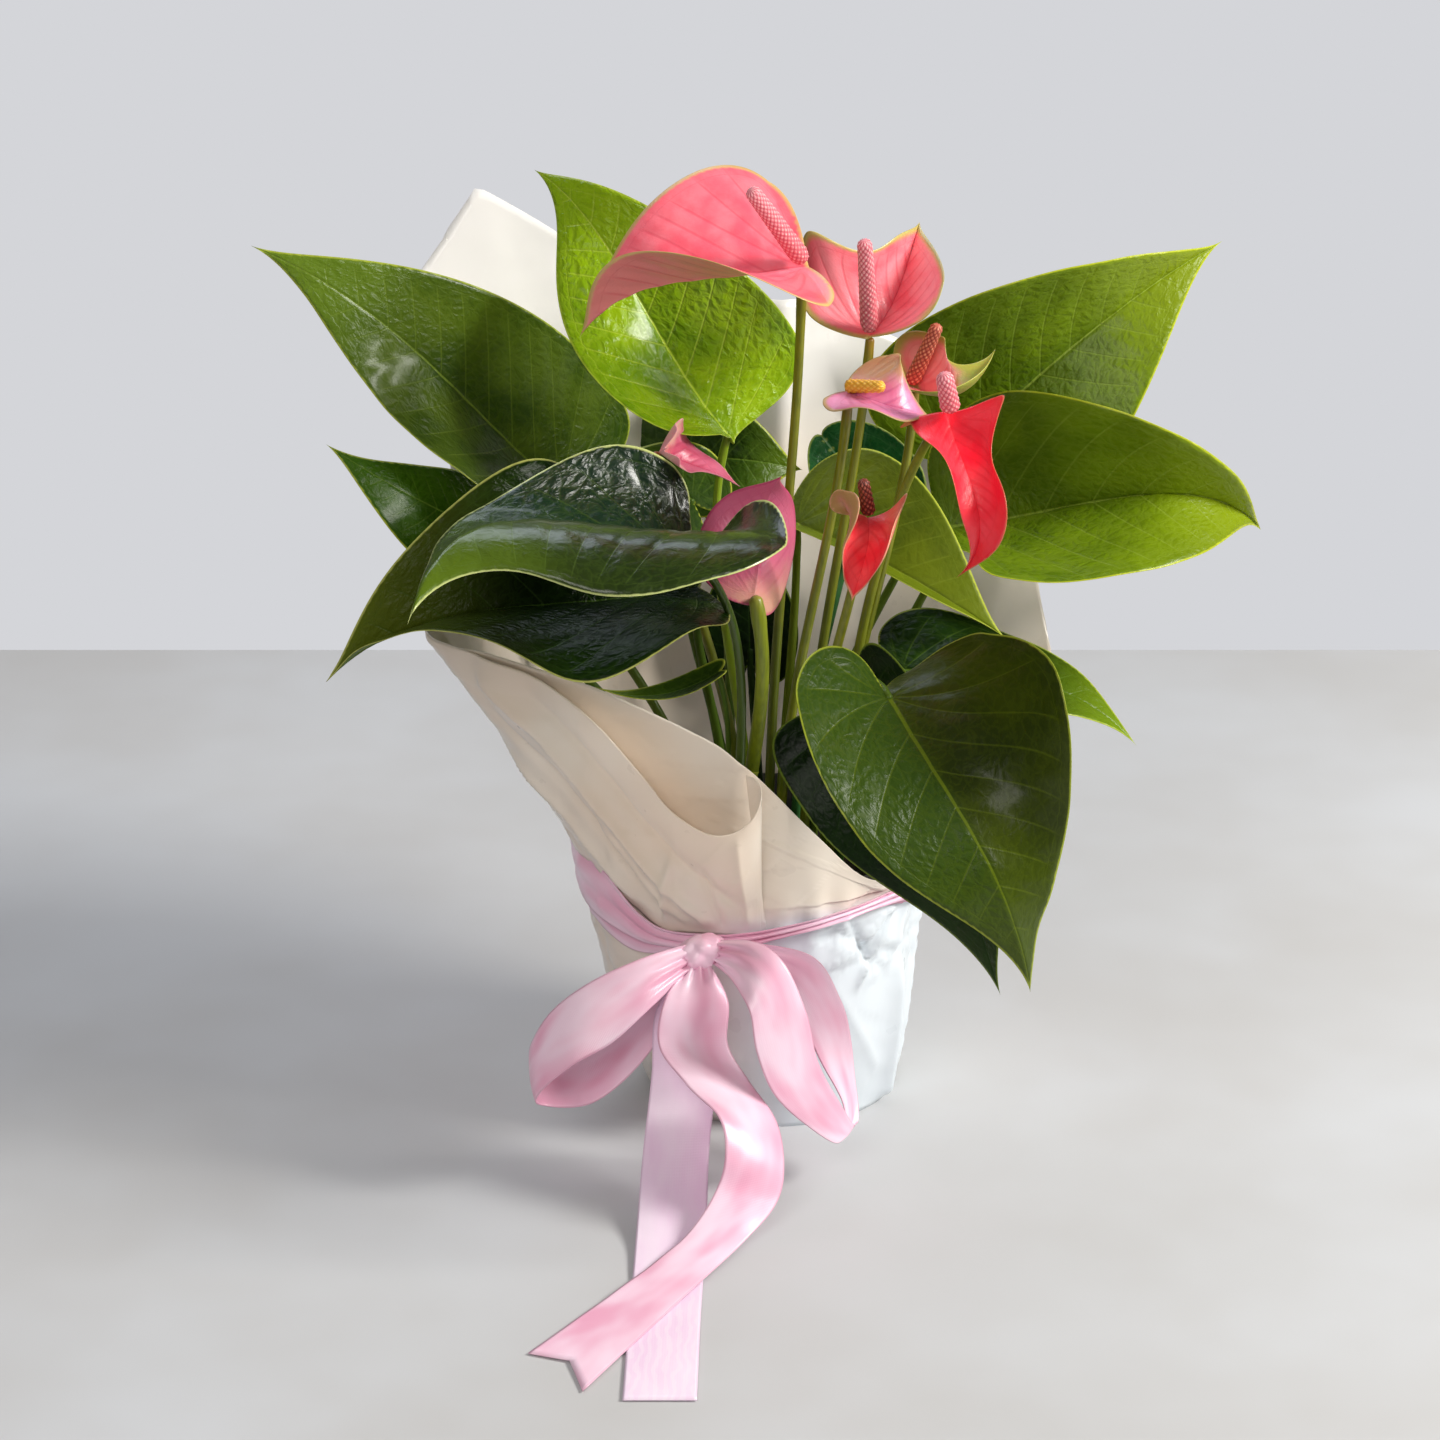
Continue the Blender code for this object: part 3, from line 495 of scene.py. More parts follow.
# In millimetres from the rim: where side veins are whole, and the vein that joins them, with its half width
WHOLE_VEINS = 9.0
JOINING_VEIN = 4.5
JOINING_WIDTH = 0.35


def make_vein_group() -> None:
    """Group "Veins": lines of the side veins, the midrib and the margin of a blade, each from 0 to 1.

    Phase counts the side veins and Reach is the millimetres from one to the next, so the distance to the
    nearest is the fraction of Phase times Reach. Rib is the distance from the midrib as a share of its half
    width.
    """
    inputs = ("Phase", "Reach", "Rib", "Rim", "Width", "Edge")
    graph, source, result = new_group("Veins", inputs, ("Side", "Midrib", "Margin"))
    phase, reach, rib, rim, width, edge = source.outputs[:len(inputs)]
    fraction = graph.math("FRACT", graph.math("ADD", phase, 0.5))
    away = graph.math("ABSOLUTE", graph.math("SUBTRACT", fraction, 0.5))
    distance = graph.math("DIVIDE", graph.times(away, reach), width)
    side = graph.times(graph.step(distance, 1.0, 0.15), graph.step(rim, 1.0, WHOLE_VEINS))
    beside = graph.math("ABSOLUTE", graph.math("SUBTRACT", rim, JOINING_VEIN))
    joining = graph.step(beside, JOINING_WIDTH, 0.05, 0.0, 0.5)
    margin = graph.step(graph.math("DIVIDE", rim, edge), 1.0, 0.25)
    side = graph.math("MAXIMUM", side, joining)
    graph.fill(result, Side=side, Midrib=graph.step(rib, 1.0, 0.55), Margin=margin)


def make_crinkle_group() -> None:
    """Group "Crinkle": raised cells between fine netted veins, from the distance to warped cells' edges."""
    warp_reach = (6.0, 6.0, 0.0)
    finer = 2.6
    graph, source, result = new_group("Crinkle", ("Flat Vector", "Cell"), ("Height",))
    flat, cell = source.outputs[:2]
    warp = graph.node("TexNoise", Vector=flat, Scale=0.12, Detail=1.0)
    moved = graph.node("VectorMath", {"operation": "MULTIPLY_ADD"})
    for target, value in zip(moved.inputs, (warp.outputs["Color"], warp_reach, flat)):
        graph.feed(target, value)
    distances = []
    for count in (1.0, finer):
        scale = graph.math("DIVIDE", count, cell)
        settings = {"feature": "DISTANCE_TO_EDGE"}
        cells = graph.node("TexVoronoi", settings, Vector=moved.outputs[0], Scale=scale)
        distances.append(cells.outputs["Distance"])
    large = graph.step(distances[0], 0.0, 0.45)
    small = graph.step(distances[1], 0.0, 0.4, 0.0, 0.25)
    graph.fill(result, Height=graph.math("ADD", large, small))


def make_weave_group() -> None:
    """Group "Satin weave": fine threads along and across a strip, and its water marks.

    Both come from waves of the distances along the strip and across it, in millimetres.
    """
    threads_across = 9.5
    threads_along = 6.5
    graph, source, result = new_group("Satin weave", ("Along", "Across"), ("Height", "Moire"))
    along, across = source.outputs[:2]
    cross = graph.math("SINE", graph.times(along, threads_across))
    length = graph.math("SINE", graph.times(across, threads_along))
    height = graph.times_plus(cross, 0.3, graph.times_plus(length, 0.15, 0.5))
    place = graph.node("CombineXYZ", X=graph.times(across, 0.09), Y=graph.times(along, 0.06))
    water = graph.node("TexWave", {"bands_direction": "X"}, Vector=place.outputs[0], Scale=1.0,
                       Distortion=8.0, Detail=2.0)
    graph.fill(result, Height=height, Moire=water.outputs["Fac"])


def new_material(name: str) -> tuple[Material, Graph, Node]:
    """New material with its Principled shader.

    Args:
        name: name of the material.

    Returns:
        The material, its graph and its shader node.
    """
    made = bpy.data.materials.new(name)
    made.use_nodes = True
    return made, Graph(made.node_tree), made.node_tree.nodes["Principled BSDF"]


# Finishes


def scaled(colour: Colour, factor: float, most: float = 255.0) -> Colour:
    """Colour with each of its parts times a factor, up to a limit."""
    return tuple(min(most, factor * part) for part in colour)


def blade_values(graph: Graph, width: float, edge: float) -> tuple[Socket, ...]:
    """Sockets that leaves and spathes share, read from the values at their points.

    Args:
        graph: graph of the material.
        width: half width of a side vein in millimetres.
        edge: width of the coloured margin in millimetres.

    Returns:
        Distance along the midrib, distance to its left, the flat place, 1 on the upper face, and the lines of
        the side veins, the midrib and the margin.
    """
    _, x, y, rim, flat = graph.value("flat")
    _, phase, reach, rib, _ = graph.value("vein")
    lines = graph.group("Veins", Phase=phase, Reach=reach, Rib=rib, Rim=rim, Width=width, Edge=edge)
    return x, y, flat, graph.value("upper")[0], *lines.outputs


@dataclass(frozen=True)
class LeafFinish:
    """Surface of a leaf: colours of the upper face in shade, in light and at the tip, and of the other parts.

    right is a second colour of the half at right of the midrib and half_light_share how much of it shows:
    painted light and shade, as the two halves of a folded blade face the light differently. lobe_shade is the
    share of a darker deep
    colour near the joint and on the lobes: painted shade in their hollow. Towards the tip the colour goes over
    to tip,
    so the inner part of the blade is darker: painted shade of the crown. Widths are in millimetres.
    """

    name: str
    deep: Colour = (30, 54, 8)
    light: Colour = (56, 84, 14)
    tip: Colour = (84, 108, 14)
    vein: Colour = (100, 128, 44)
    margin: Colour = (168, 178, 60)
    under: Colour = (70, 96, 26)
    vein_share: float = 0.3
    rough: float = 0.36
    coat: float = 0.1
    crinkle: float = 0.3
    cell: float = 5.0
    right: Colour = (30, 54, 8)
    half_light_share: float = 0.0
    lobe_shade: float = 0.0
    specular: float = 0.16
    vein_width: float = 0.55
    margin_width: float = 1.1

    def material(self) -> Material:
        """Material of the leaf, its colour and relief read from the flat coordinates kept at the points."""
        made, graph, shader = new_material(self.name)
        x, y, flat, upper, side, midrib, margin = blade_values(graph, self.vein_width, self.margin_width)
        cells = graph.group("Crinkle", Flat_Vector=flat, Cell=self.cell).outputs[0]
        base = graph.mix(graph.step(graph.noise(flat, 0.035, 3.0), 0.3, 0.7), self.deep, self.light)
        # Painted light and shade: the half at right of the midrib takes its own colour, as the halves of a
        # folded blade face the light differently.
        base = graph.mix(graph.step(y, 3.0, -3.0, 0.0, self.half_light_share), base, self.right)
        # Painted shade: a darker deep colour near the joint and on the lobes behind it, in their hollow.
        base = graph.mix(graph.step(x, 14.0, -2.0, 0.0, self.lobe_shade), base, scaled(self.deep, 0.45))
        # Painted shade of the crown: the blade is darker on its inner part and goes over to the tip colour
        # towards the tip.
        base = graph.mix(graph.step(graph.value("along")[0], 0.4, 1.0), base, self.tip)
        lines = (graph.step(cells, 0.35, 0.0), side, midrib)
        for line, share in zip(lines, (0.10, self.vein_share, min(1.0, 0.45 + self.vein_share))):
            base = graph.mix(graph.times(line, share), base, self.vein)
        below = graph.mix(graph.times(side, 0.6), self.under, self.vein)
        base = graph.mix(margin, graph.mix(upper, below, base), self.margin)
        rough = graph.times_plus(graph.noise(flat, 0.11, 3.0), 0.16, self.rough - 0.08)
        rough = graph.times_plus(graph.math("SUBTRACT", 1.0, upper), 0.2, rough)
        height = graph.times_plus(side, -0.5, cells)
        height = graph.times(height, graph.step(y, 3.0, -3.0, 1.0 - 0.75 * self.half_light_share, 1.0))
        relief = graph.bump(graph.noise(flat, 2.2, 2.0), 0.12, 0.15, graph.bump(height, self.crinkle, 0.9))
        graph.fill(shader, Base_Color=base, Roughness=rough, Specular_IOR_Level=self.specular,
                   Coat_Weight=self.coat, Coat_Roughness=0.14, Normal=relief)
        return made


@dataclass(frozen=True)
class SpatheFinish:
    """Surface of a spathe: its colour, a second colour washed in along one direction, veins, margin and back.

    wash is a direction in the flat blade (along the midrib, then to the left) and the two distances along it
    between which the second colour comes in.
    """

    name: str
    face: Colour = (246, 110, 128)
    pale: Colour = (252, 150, 164)
    vein: Colour = (228, 70, 98)
    second: Colour = (190, 186, 96)
    wash: Quad = (0.0, -1.0, 25.0, 45.0)
    margin: Colour = (214, 196, 110)
    margin_width: float = 1.2
    back: Colour = (226, 130, 138)
    rough: float = 0.36
    vein_width: float = 0.9

    def material(self) -> Material:
        """Material of the spathe, its second colour washed in unevenly over the way that wash gives."""
        made, graph, shader = new_material(self.name)
        x, y, flat, upper, side, midrib, margin = blade_values(graph, self.vein_width, self.margin_width)
        ahead, aside, start, end = self.wash
        base = graph.mix(graph.step(graph.noise(flat, 0.07, 3.0), 0.32, 0.68), self.face, self.pale)
        for line in (side, midrib):
            base = graph.mix(graph.times(line, 0.4), base, self.vein)
        way = graph.times_plus(x, ahead, graph.times(y, aside))
        way = graph.times_plus(graph.noise(flat, 0.12, 4.0), 14.0, graph.math("SUBTRACT", way, 7.0))
        washed = graph.step(way, start, end)
        base = graph.mix(washed, base, self.second)
        below = graph.mix(graph.times(side, 0.35), self.back, self.vein)
        below = graph.mix(graph.times(washed, 0.7), below, self.second)
        base = graph.mix(graph.times(margin, 0.85), graph.mix(upper, below, base), self.margin)
        rough = graph.times_plus(graph.noise(flat, 0.3), 0.15, self.rough - 0.07)
        relief = graph.bump(graph.times_plus(side, -0.6, graph.noise(flat, 0.9, 3.0)), 0.3, 0.4)
        graph.fill(shader, Base_Color=base, Roughness=rough, Specular_IOR_Level=0.4, Coat_Weight=0.25,
                   Coat_Roughness=0.2, Subsurface_Weight=0.2, Subsurface_Radius=(0.004, 0.0012, 0.001),
                   Normal=relief)
        return made


@dataclass(frozen=True)
class SpadixFinish:
    """Surface of a spadix: colours of its florets at the base and the top, of the gaps and of pale specks."""

    name: str
    low: Colour = (232, 134, 142)
    high: Colour = (248, 162, 170)
    gap: Colour = (206, 88, 104)
    speck: Colour = (255, 226, 218)
    rough: float = 0.5

    def material(self) -> Material:
        """Material of the spadix, from the height of the florets and the place along it."""
        made, graph, shader = new_material(self.name)
        floret = graph.value("floret")[0]
        place = graph.place()
        base = graph.mix(graph.step(graph.value("along")[0], 0.1, 0.9), self.low, self.high)
        base = graph.mix(graph.step(floret, 0.0, 0.5), self.gap, base)
        speck = graph.step(graph.noise(place, 800.0, 2.0), 0.42, 0.6, 0.0, 0.9)
        base = graph.mix(graph.times(speck, graph.step(floret, 0.55, 0.95)), base, self.speck)
        relief = graph.bump(graph.noise(place, 1500.0), 0.3, 0.15)
        graph.fill(shader, Base_Color=base, Roughness=self.rough, Normal=relief)
        return made


@dataclass(frozen=True)
class StemFinish:
    """Surface of a stalk, from its foot to its top."""

    name: str
    low: Colour = (92, 106, 12)
    high: Colour = (124, 126, 18)
    top: Colour = (176, 92, 58)
    rough: float = 0.36

    def material(self) -> Material:
        """Material of the stalk, with fine lengthwise streaks."""
        made, graph, shader = new_material(self.name)
        along = graph.value("along")[0]
        place = graph.place()
        stretch = graph.node("Mapping", Vector=place, Scale=(900.0, 900.0, 40.0))
        streak = graph.noise(stretch.outputs[0], 1.0, 3.0)
        base = graph.mix(graph.step(along, 0.15, 0.8), self.low, self.high)
        base = graph.mix(graph.step(along, 0.9, 1.0), base, self.top)
        base = graph.mix(graph.step(streak, 0.35, 0.75, 0.0, 0.45), base, scaled(self.low, 0.78))
        blotch = graph.step(graph.noise(place, 60.0), 0.45, 0.7, 0.0, 0.35)
        base = graph.mix(blotch, base, scaled(self.high, 1.2))
        rough = graph.times_plus(streak, 0.2, self.rough - 0.1)
        graph.fill(shader, Base_Color=base, Roughness=rough, Normal=graph.bump(streak, 0.25, 0.2))
        return made


@dataclass(frozen=True)
class PaperFinish:
    """Pearly coated wrapping paper: warm cream, with a cool pearl at the lower right of the front that is
    partly the paper's pearly film and partly painted reflection.

    high is a whiter colour of the tall back, painted light, which comes in between two heights. Pearl comes in
    between two heights and between two places along X. These places are in metres.
    """

    name: str = "pearl paper"
    cream: Colour = (250, 239, 224)
    warm: Colour = (244, 224, 203)
    high: Colour = (253, 250, 246)
    pearl: Colour = (238, 247, 254)
    lit_back_from: Pair = (0.21, 0.27)
    pearl_below: Pair = (0.109, 0.096)
    pearl_right: Pair = (-0.035, 0.012)
    rough: float = 0.30

    def material(self) -> Material:
        """Material of the paper, washed from cream to pearl across the front."""
        made, graph, shader = new_material(self.name)
        place = graph.place()
        x, _, z = graph.node("SeparateXYZ", Vector=place).outputs
        drift = graph.times_plus(graph.noise(place, 30.0, 3.0), 0.012, z)
        # The cool pearl patch: partly the paper's pearly film, partly its reflection painted at a fixed place
        # on the lower right.
        cool = graph.times(graph.step(drift, *self.pearl_below), graph.step(x, *self.pearl_right))
        base = graph.mix(graph.step(graph.noise(place, 14.0, 3.0), 0.3, 0.7), self.cream, self.warm)
        # Painted light: the tall back is whiter above the given heights.
        base = graph.mix(graph.step(z, *self.lit_back_from), base, self.high)
        base = graph.mix(cool, base, self.pearl)
        rough = graph.times_plus(graph.noise(place, 90.0, 3.0), 0.14, self.rough - 0.07)
        crumple = graph.bump(graph.noise(place, 26.0, 3.0), 0.25, 2.0)
        relief = graph.bump(graph.noise(place, 900.0, 2.0), 0.06, 0.1, crumple)
        graph.fill(shader, Base_Color=base, Roughness=rough, Coat_Weight=0.35, Coat_Roughness=0.18,
                   Sheen_Weight=0.15, Subsurface_Weight=0.15, Subsurface_Radius=(0.009, 0.008, 0.007),
                   Subsurface_Scale=1.0, Normal=relief)
        return made


@dataclass(frozen=True)
class RibbonFinish:
    """Pink satin ribbon with woven edges.

    moire is the strength of its water marks, which come in over the distances along it that watered gives.
    """

    name: str
    pink: Colour = (240, 172, 200)
    light: Colour = (254, 222, 240)
    moire: float = 0.0
    rough: float = 0.30
    watered: Pair = (120.0, 170.0)

    def material(self) -> Material:
        """Material of the ribbon, from the distances along it and across it."""
        made, graph, shader = new_material(self.name)
        _, along, across, edge, _ = graph.value("strip")
        height, moire = graph.group("Satin weave", Along=along, Across=across).outputs
        place = graph.node("CombineXYZ", X=graph.times(along, 0.05), Y=graph.times(across, 0.12)).outputs[0]
        # Painted highlights and shade: soft patches along the strip, lighter and darker pink, stand in for the
        # satin's shine and its folds in shade.
        base = graph.mix(graph.step(graph.noise(place, 0.5, 2.0), 0.3, 0.7), self.pink, self.light)
        watered = graph.times(graph.step(along, *self.watered, 0.15, 1.0), self.moire)
        marks = graph.times(graph.step(moire, 0.35, 0.75), watered)
        base = graph.mix(marks, base, scaled(self.light, 1.05, 252.0))
        base = graph.mix(graph.times(graph.step(edge, 0.9, 0.3), 0.5), base, scaled(self.pink, 0.9))
        rough = graph.times_plus(graph.times(moire, watered), 0.12, self.rough)
        relief = graph.bump(graph.noise(place, 1.6, 2.0), 0.12, 0.8, graph.bump(height, 0.22, 0.12))
        graph.fill(shader, Base_Color=base, Roughness=rough, Specular_IOR_Level=0.7, Sheen_Weight=0.1,
                   Sheen_Roughness=0.4, Anisotropic=0.5, Normal=relief)
        return made


@dataclass(frozen=True)
class EarthFinish:
    """Peat with pale crumbs, or plastic where crumbs is 0."""

    name: str
    dark: Colour
    light: Colour
    crumbs: float
    rough: float
    crumb: Colour = (150, 132, 110)

    def material(self) -> Material:
        """Material from two noises in the row frame."""
        made, graph, shader = new_material(self.name)
        place = graph.place()
        grain = graph.noise(place, 260.0, 4.0, 0.7)
        base = graph.mix(graph.step(grain, 0.35, 0.65), self.dark, self.light)
        spots = graph.step(graph.noise(place, 420.0, 1.0), 0.68, 0.72)
        base = graph.mix(graph.times(spots, self.crumbs), base, self.crumb)
        relief = graph.bump(grain, 0.2 + 0.8 * self.crumbs, 0.3 + 1.5 * self.crumbs)
        rough = graph.times_plus(grain, 0.15, self.rough - 0.07)
        graph.fill(shader, Base_Color=base, Roughness=rough, Normal=relief)
        return made


# Blades: leaves and spathes

# Handles of the three curves on each side of a blade's outline, and the depth of its notch, as shares
TIP_HANDLE = (0.84, 0.04)
AHEAD_HANDLE = 0.45
BEHIND_HANDLE = 0.55
OUTER_HANDLE = 0.36
INNER_HANDLE = 0.3
NOTCH_HANDLE = (0.45, 0.05)
NOTCH_DEPTH = 0.03


class Rim(Enum):
    """Steps on each side of a blade's outline: tip to widest point, round the lobe, into the notch."""

    LARGE = (56, 44, 20)
    SMALL = (34, 26, 12)


@dataclass(frozen=True)
class Blade:
    """A heart-shaped blade.

    Pairs give the side at left of the midrib, seen from above with the tip ahead, and then the right one.
    facing is the way the upper face looks, half the half widths, lobe the reach behind the joint, widest and
    spread the places of the widest point and of the lobe's end, as shares. lobe and spread may be one number
    for both sides. Across the blade the angle starts at fold, plus gather towards the tip, and turns by curl
    out to the edge. Along it the midrib rises by arch, leaning to the tip with skew, bends aside by sway and
    rolls by twist. wave gives a rise at both edges, its count and its phase, and lift raises the ends of the
    lobes.
    """

    joint: Triple
    tip: Triple
    facing: Triple
    half: Pair
    lobe: float | Pair
    widest: float = 0.14
    spread: float | Pair = 0.5
    fold: Pair = (0.15, 0.15)
    curl: Pair = (0.1, 0.1)
    gather: Pair = (0.0, 0.0)
    arch: float = 8.0
    skew: float = 0.0
    sway: float = 0.0
    twist: float = 0.0
    wave: Quad = (0.0, 0.0, 1.6, 0.0)
    lift: Pair = (0.0, 0.0)

    def pair(self, value: float | Pair) -> Pair:
        """Pair of the values for the left and the right side."""
        return tuple(np.broadcast_to(value, 2).tolist())

    def length(self) -> float:
        """Length along the arched midrib, from the chord and the rise."""
        chord = float(np.linalg.norm(np.subtract(self.tip, self.joint)))
        return chord * (1 + 1.3 * (self.arch / chord) ** 2)

    def rim(self, counts: tuple[int, int, int]) -> Array:
        """Flat outline: on each side a curve to the widest point, one round the lobe and one into the notch.

        Args:
            counts: steps in each of the three curves.

        Returns:
            Array of flat points, x along the midrib and y to the left.
        """
        length = self.length()
        wide = self.widest * length
        notch = -NOTCH_DEPTH * length
        sides = []
        halves = (self.half[0], -self.half[1])
        for reach, spread, half in zip(self.pair(self.lobe), self.pair(self.spread), halves):
            lobe = -reach
            outer = (lobe, min(spread + OUTER_HANDLE, 0.98))
            inner = (lobe, spread - INNER_HANDLE)
            runs = (
                ((length, 0), (length * TIP_HANDLE[0], TIP_HANDLE[1]),
                 (wide + AHEAD_HANDLE * (length - wide), 1), (wide, 1)),
                ((wide, 1), (wide - BEHIND_HANDLE * (wide - lobe), 1), outer, (lobe, spread)),
                ((lobe, spread), inner, (NOTCH_HANDLE[0] * lobe, NOTCH_HANDLE[1]), (notch, 0)),
            )
            side = np.concatenate([bezier(run, n, run is runs[-1]) for run, n in zip(runs, counts)])
            sides.append(side * [1, half])
        return np.concatenate([sides[0], sides[1][1:-1][::-1]])

    def drape(self, x: Array, y: Array) -> Array:
        """Points on the bent blade: its midrib is a parabola over the chord, and each side an arc across it.

        Args:
            x: flat distance along the midrib from the joint.
            y: flat distance to the left of it.

        Returns:
            Array of points.
        """
        joint = np.asarray(self.joint, float)
        chord = np.linalg.norm(np.subtract(self.tip, self.joint))
        ahead = unit(np.subtract(self.tip, self.joint))
        above = np.asarray(self.facing, float)
        above = unit(above - (above @ ahead) * ahead)
        aside = np.cross(above, ahead)
        share = x / self.length()
        inside = np.clip(share, 0, 1)
        behind = np.minimum(share, 0)
        steep = self.arch * 4
        lean = self.sway * 4
        skewed = 1 + self.skew * (2 * inside - 1)
        rise = steep * inside * (1 - inside) * skewed
        slope = steep * ((1 - 2 * inside) * skewed + 2 * self.skew * inside * (1 - inside))
        height = rise + steep * (1 - self.skew) * behind
        across = lean * inside * (1 - inside) + lean * behind
        centre = joint + (share * chord)[:, None] * ahead + height[:, None] * above + across[:, None] * aside
        drift = (lean * (1 - 2 * inside))[:, None] / chord
        tangent = unit(ahead + slope[:, None] / chord * above + drift * aside)
        normal = unit(above - (tangent @ above)[:, None] * tangent)
        side = np.cross(normal, tangent)
        roll = self.twist * (share - 0.3)[:, None]
        rolled = side * np.cos(roll) + normal * np.sin(roll)
        normal = normal * np.cos(roll) - side * np.sin(roll)
        left = y >= 0
        width = np.where(left, *self.half)
        start = np.where(left, *self.fold) + np.where(left, *self.gather) * inside
        turn = np.where(left, *self.curl)
        turn = np.where(np.abs(turn) < 1e-4, 1e-4, turn)
        reach = np.abs(y) / width
        turned = start + turn * reach
        out = width / turn * (np.sin(turned) - np.sin(start))
        up = width / turn * (np.cos(start) - np.cos(turned))
        left_wave, right_wave, count, phase = self.wave
        waves = np.sin(2 * math.pi * (count * share + phase))
        up = up + np.where(left, left_wave, right_wave) * waves * reach ** 2
        up = up + np.where(left, *self.lift) * (np.minimum(x, 0) / np.where(left, *self.pair(self.lobe))) ** 2
        return centre + (np.where(left, 1, -1) * out)[:, None] * rolled + up[:, None] * normal

    def normals(self, x: Array, y: Array, step: float = 0.6) -> Array:
        """Unit normals of the bent blade, from the differences of its points over a small step.

        Args:
            x: flat distance along the midrib.
            y: flat distance to the left of it.
            step: the step.

        Returns:
            Array of unit normals.
        """
        along = self.drape(x + step, y) - self.drape(x - step, y)
        across = self.drape(x, y + step) - self.drape(x, y - step)
        return unit(np.cross(along, across))

    def joint_normal(self) -> Array:
        """Way the upper face looks just ahead of the joint."""
        return self.normals(np.array([0.5]), np.array([0.0]), 0.2)[0]


@dataclass
class Skin:
    """Fine closed blade over the shape of a Blade.

    rings are the steps from the joint out to the rim, quilt the rise of the cells between side veins and cell
    the distance over which it comes in, spacing the distance between those veins on the midrib, rib the half
    width of the midrib at the joint, and sway the height of slow unevenness, whose wavelength is wave, and
    ruffle near the rim. rise, bend and fan are the slope and the curving of side veins and the degrees from
    one to the next behind the joint.
    """

    blade: Blade
    counts: Rim = Rim.LARGE
    rings: int = 34
    thick: float = 0.55
    quilt: float = 0.5
    spacing: float = 13.0
    rib: float = 0.9
    sway: float = 0.5
    seed: int = 1
    rise: float = 0.75
    bend: float = 0.006
    fan: float = 26.0
    cell: float = 2.6
    wave: float = 46.0
    ruffle: float = 24.0

    def veins(self, x: Array, y: Array) -> tuple[Array, Array]:
        """Count of side veins and the millimetres between them.

        Ahead of the joint, x less rise times |y| less bend times y squared stays the same along a vein.
        Behind that first vein they fan out from the joint, one for each fan of degrees.

        Args:
            x: flat distance along the midrib.
            y: flat distance to the left of it.

        Returns:
            The phase, whole on a vein, and the distance between veins.
        """
        away = np.abs(y)
        foot = x - self.rise * away - self.bend * away ** 2
        first = math.atan2(1, self.rise)
        turn = np.arctan2(away, x - self.bend * away ** 2)
        apart = math.radians(self.fan)
        fanned = -(turn - first) / apart
        reach = np.hypot(x, away) * apart
        ahead = self.spacing / np.sqrt(1 + (self.rise + 2 * self.bend * away) ** 2)
        return np.where(foot >= 0, foot / self.spacing, fanned), np.where(foot >= 0, ahead, reach)

    def solid(self) -> Solid:
        """Closed blade with its veins sunk in the upper face and raised on the lower one."""
        rim = self.blade.rim(self.counts.value)
        n = len(rim)
        shares = np.linspace(0, 1, self.rings + 1)[1:]
        flat = np.concatenate([[[0.02, 0.0]], (shares[:, None, None] * rim).reshape(-1, 2)])
        share = np.concatenate([[0.0], np.repeat(shares, n)])
        x, y = flat[:, 0], flat[:, 1]
        edge = np.sqrt(((flat[:, None, :] - rim[None, ::2, :]) ** 2).sum(-1)).min(1) * (share < 0.999)
        phase, reach = self.veins(x, y)
        length = self.blade.length()
        taper = np.clip(1 - x / length, 0.08, 1)
        distance = np.abs((phase + 0.5) % 1 - 0.5) * reach
        cells = (1 - bell(distance, 0.0, self.cell)) * smooth(0.4, 5.0, edge)
        rib = bell(y, 0.0, 1.6 * self.rib * taper + 0.25)
        slow = ripple(x, y, self.wave, self.seed) * self.sway * share
        curl = ripple(x, y, self.ruffle, self.seed + 50) * 0.9 * self.sway * share ** 4
        height = self.quilt * cells + slow + curl
        points = self.blade.drape(x, y)
        normal = self.blade.normals(x, y)
        half = self.thick / 2 * (0.35 + 0.65 * (1 - share ** 10))
        upper = points + normal * (half + height - 0.35 * self.rib * rib)[:, None]
        lower = points - normal * (half - height + 0.9 * self.rib * rib * taper * (share < 0.98))[:, None]
        k = np.arange(n)
        after = (k + 1) % n
        fan = triangles(np.stack([0 * k, 1 + k, 1 + after], 1))
        rings = (grid_faces(self.rings, n, True) + 1)[:, [0, 3, 2, 1]]
        top = np.concatenate([fan, rings])
        m = len(flat)
        under = np.where(top >= 0, top + m, -1)
        under = np.concatenate([under[:n][:, [0, 2, 1, 3]], under[n:][:, ::-1]])
        last = 1 + (self.rings - 1) * n
        wall = np.stack([last + k, m + last + k, m + last + after, last + after], 1)
        values = {
            "flat": np.tile(np.stack([x, y, edge], 1), (2, 1)),
            "vein": np.tile(np.stack([phase, reach, np.abs(y) / (self.rib * taper + 0.12)], 1), (2, 1)),
            "upper": np.repeat([1.0, 0.0], m)[:, None],
            "along": np.tile(np.clip(x / length, 0, 1), 2)[:, None],
        }
        return Solid(np.concatenate([upper, lower]), np.concatenate([top, under, wall]), values)


def tube(line: Array, radii: Array, sides: int) -> Solid:
    """Closed tube along a line, its cross directions carried along without twisting.

    Args:
        line: centre line.
        radii: radius at each of its points.
        sides: points round each ring.

    Returns:
        The solid, with the value "along" from 0 to 1.
    """
    line = np.asarray(line, float)
    ahead = unit(np.gradient(line, axis=0))
    first = np.array([0.0, 1.0, 0.0]) if abs(ahead[0][1]) < 0.9 else np.array([1.0, 0.0, 0.0])
    across = [unit(first - (first @ ahead[0]) * ahead[0])]
    for direction in ahead[1:]:
        across.append(unit(across[-1] - (across[-1] @ direction) * direction))
    across = np.array(across)[:, None, :]
    third = np.cross(ahead[:, None, :], across)
    turn = round_turn(sides)[None, :, None]
    circle = np.cos(turn) * across + np.sin(turn) * third
    rings = line[:, None, :] + np.asarray(radii, float)[:, None, None] * circle
    along = np.repeat(np.linspace(0, 1, len(line))[:, None], sides, 1)[..., None]
    return ring_solid(rings, {"along": along})


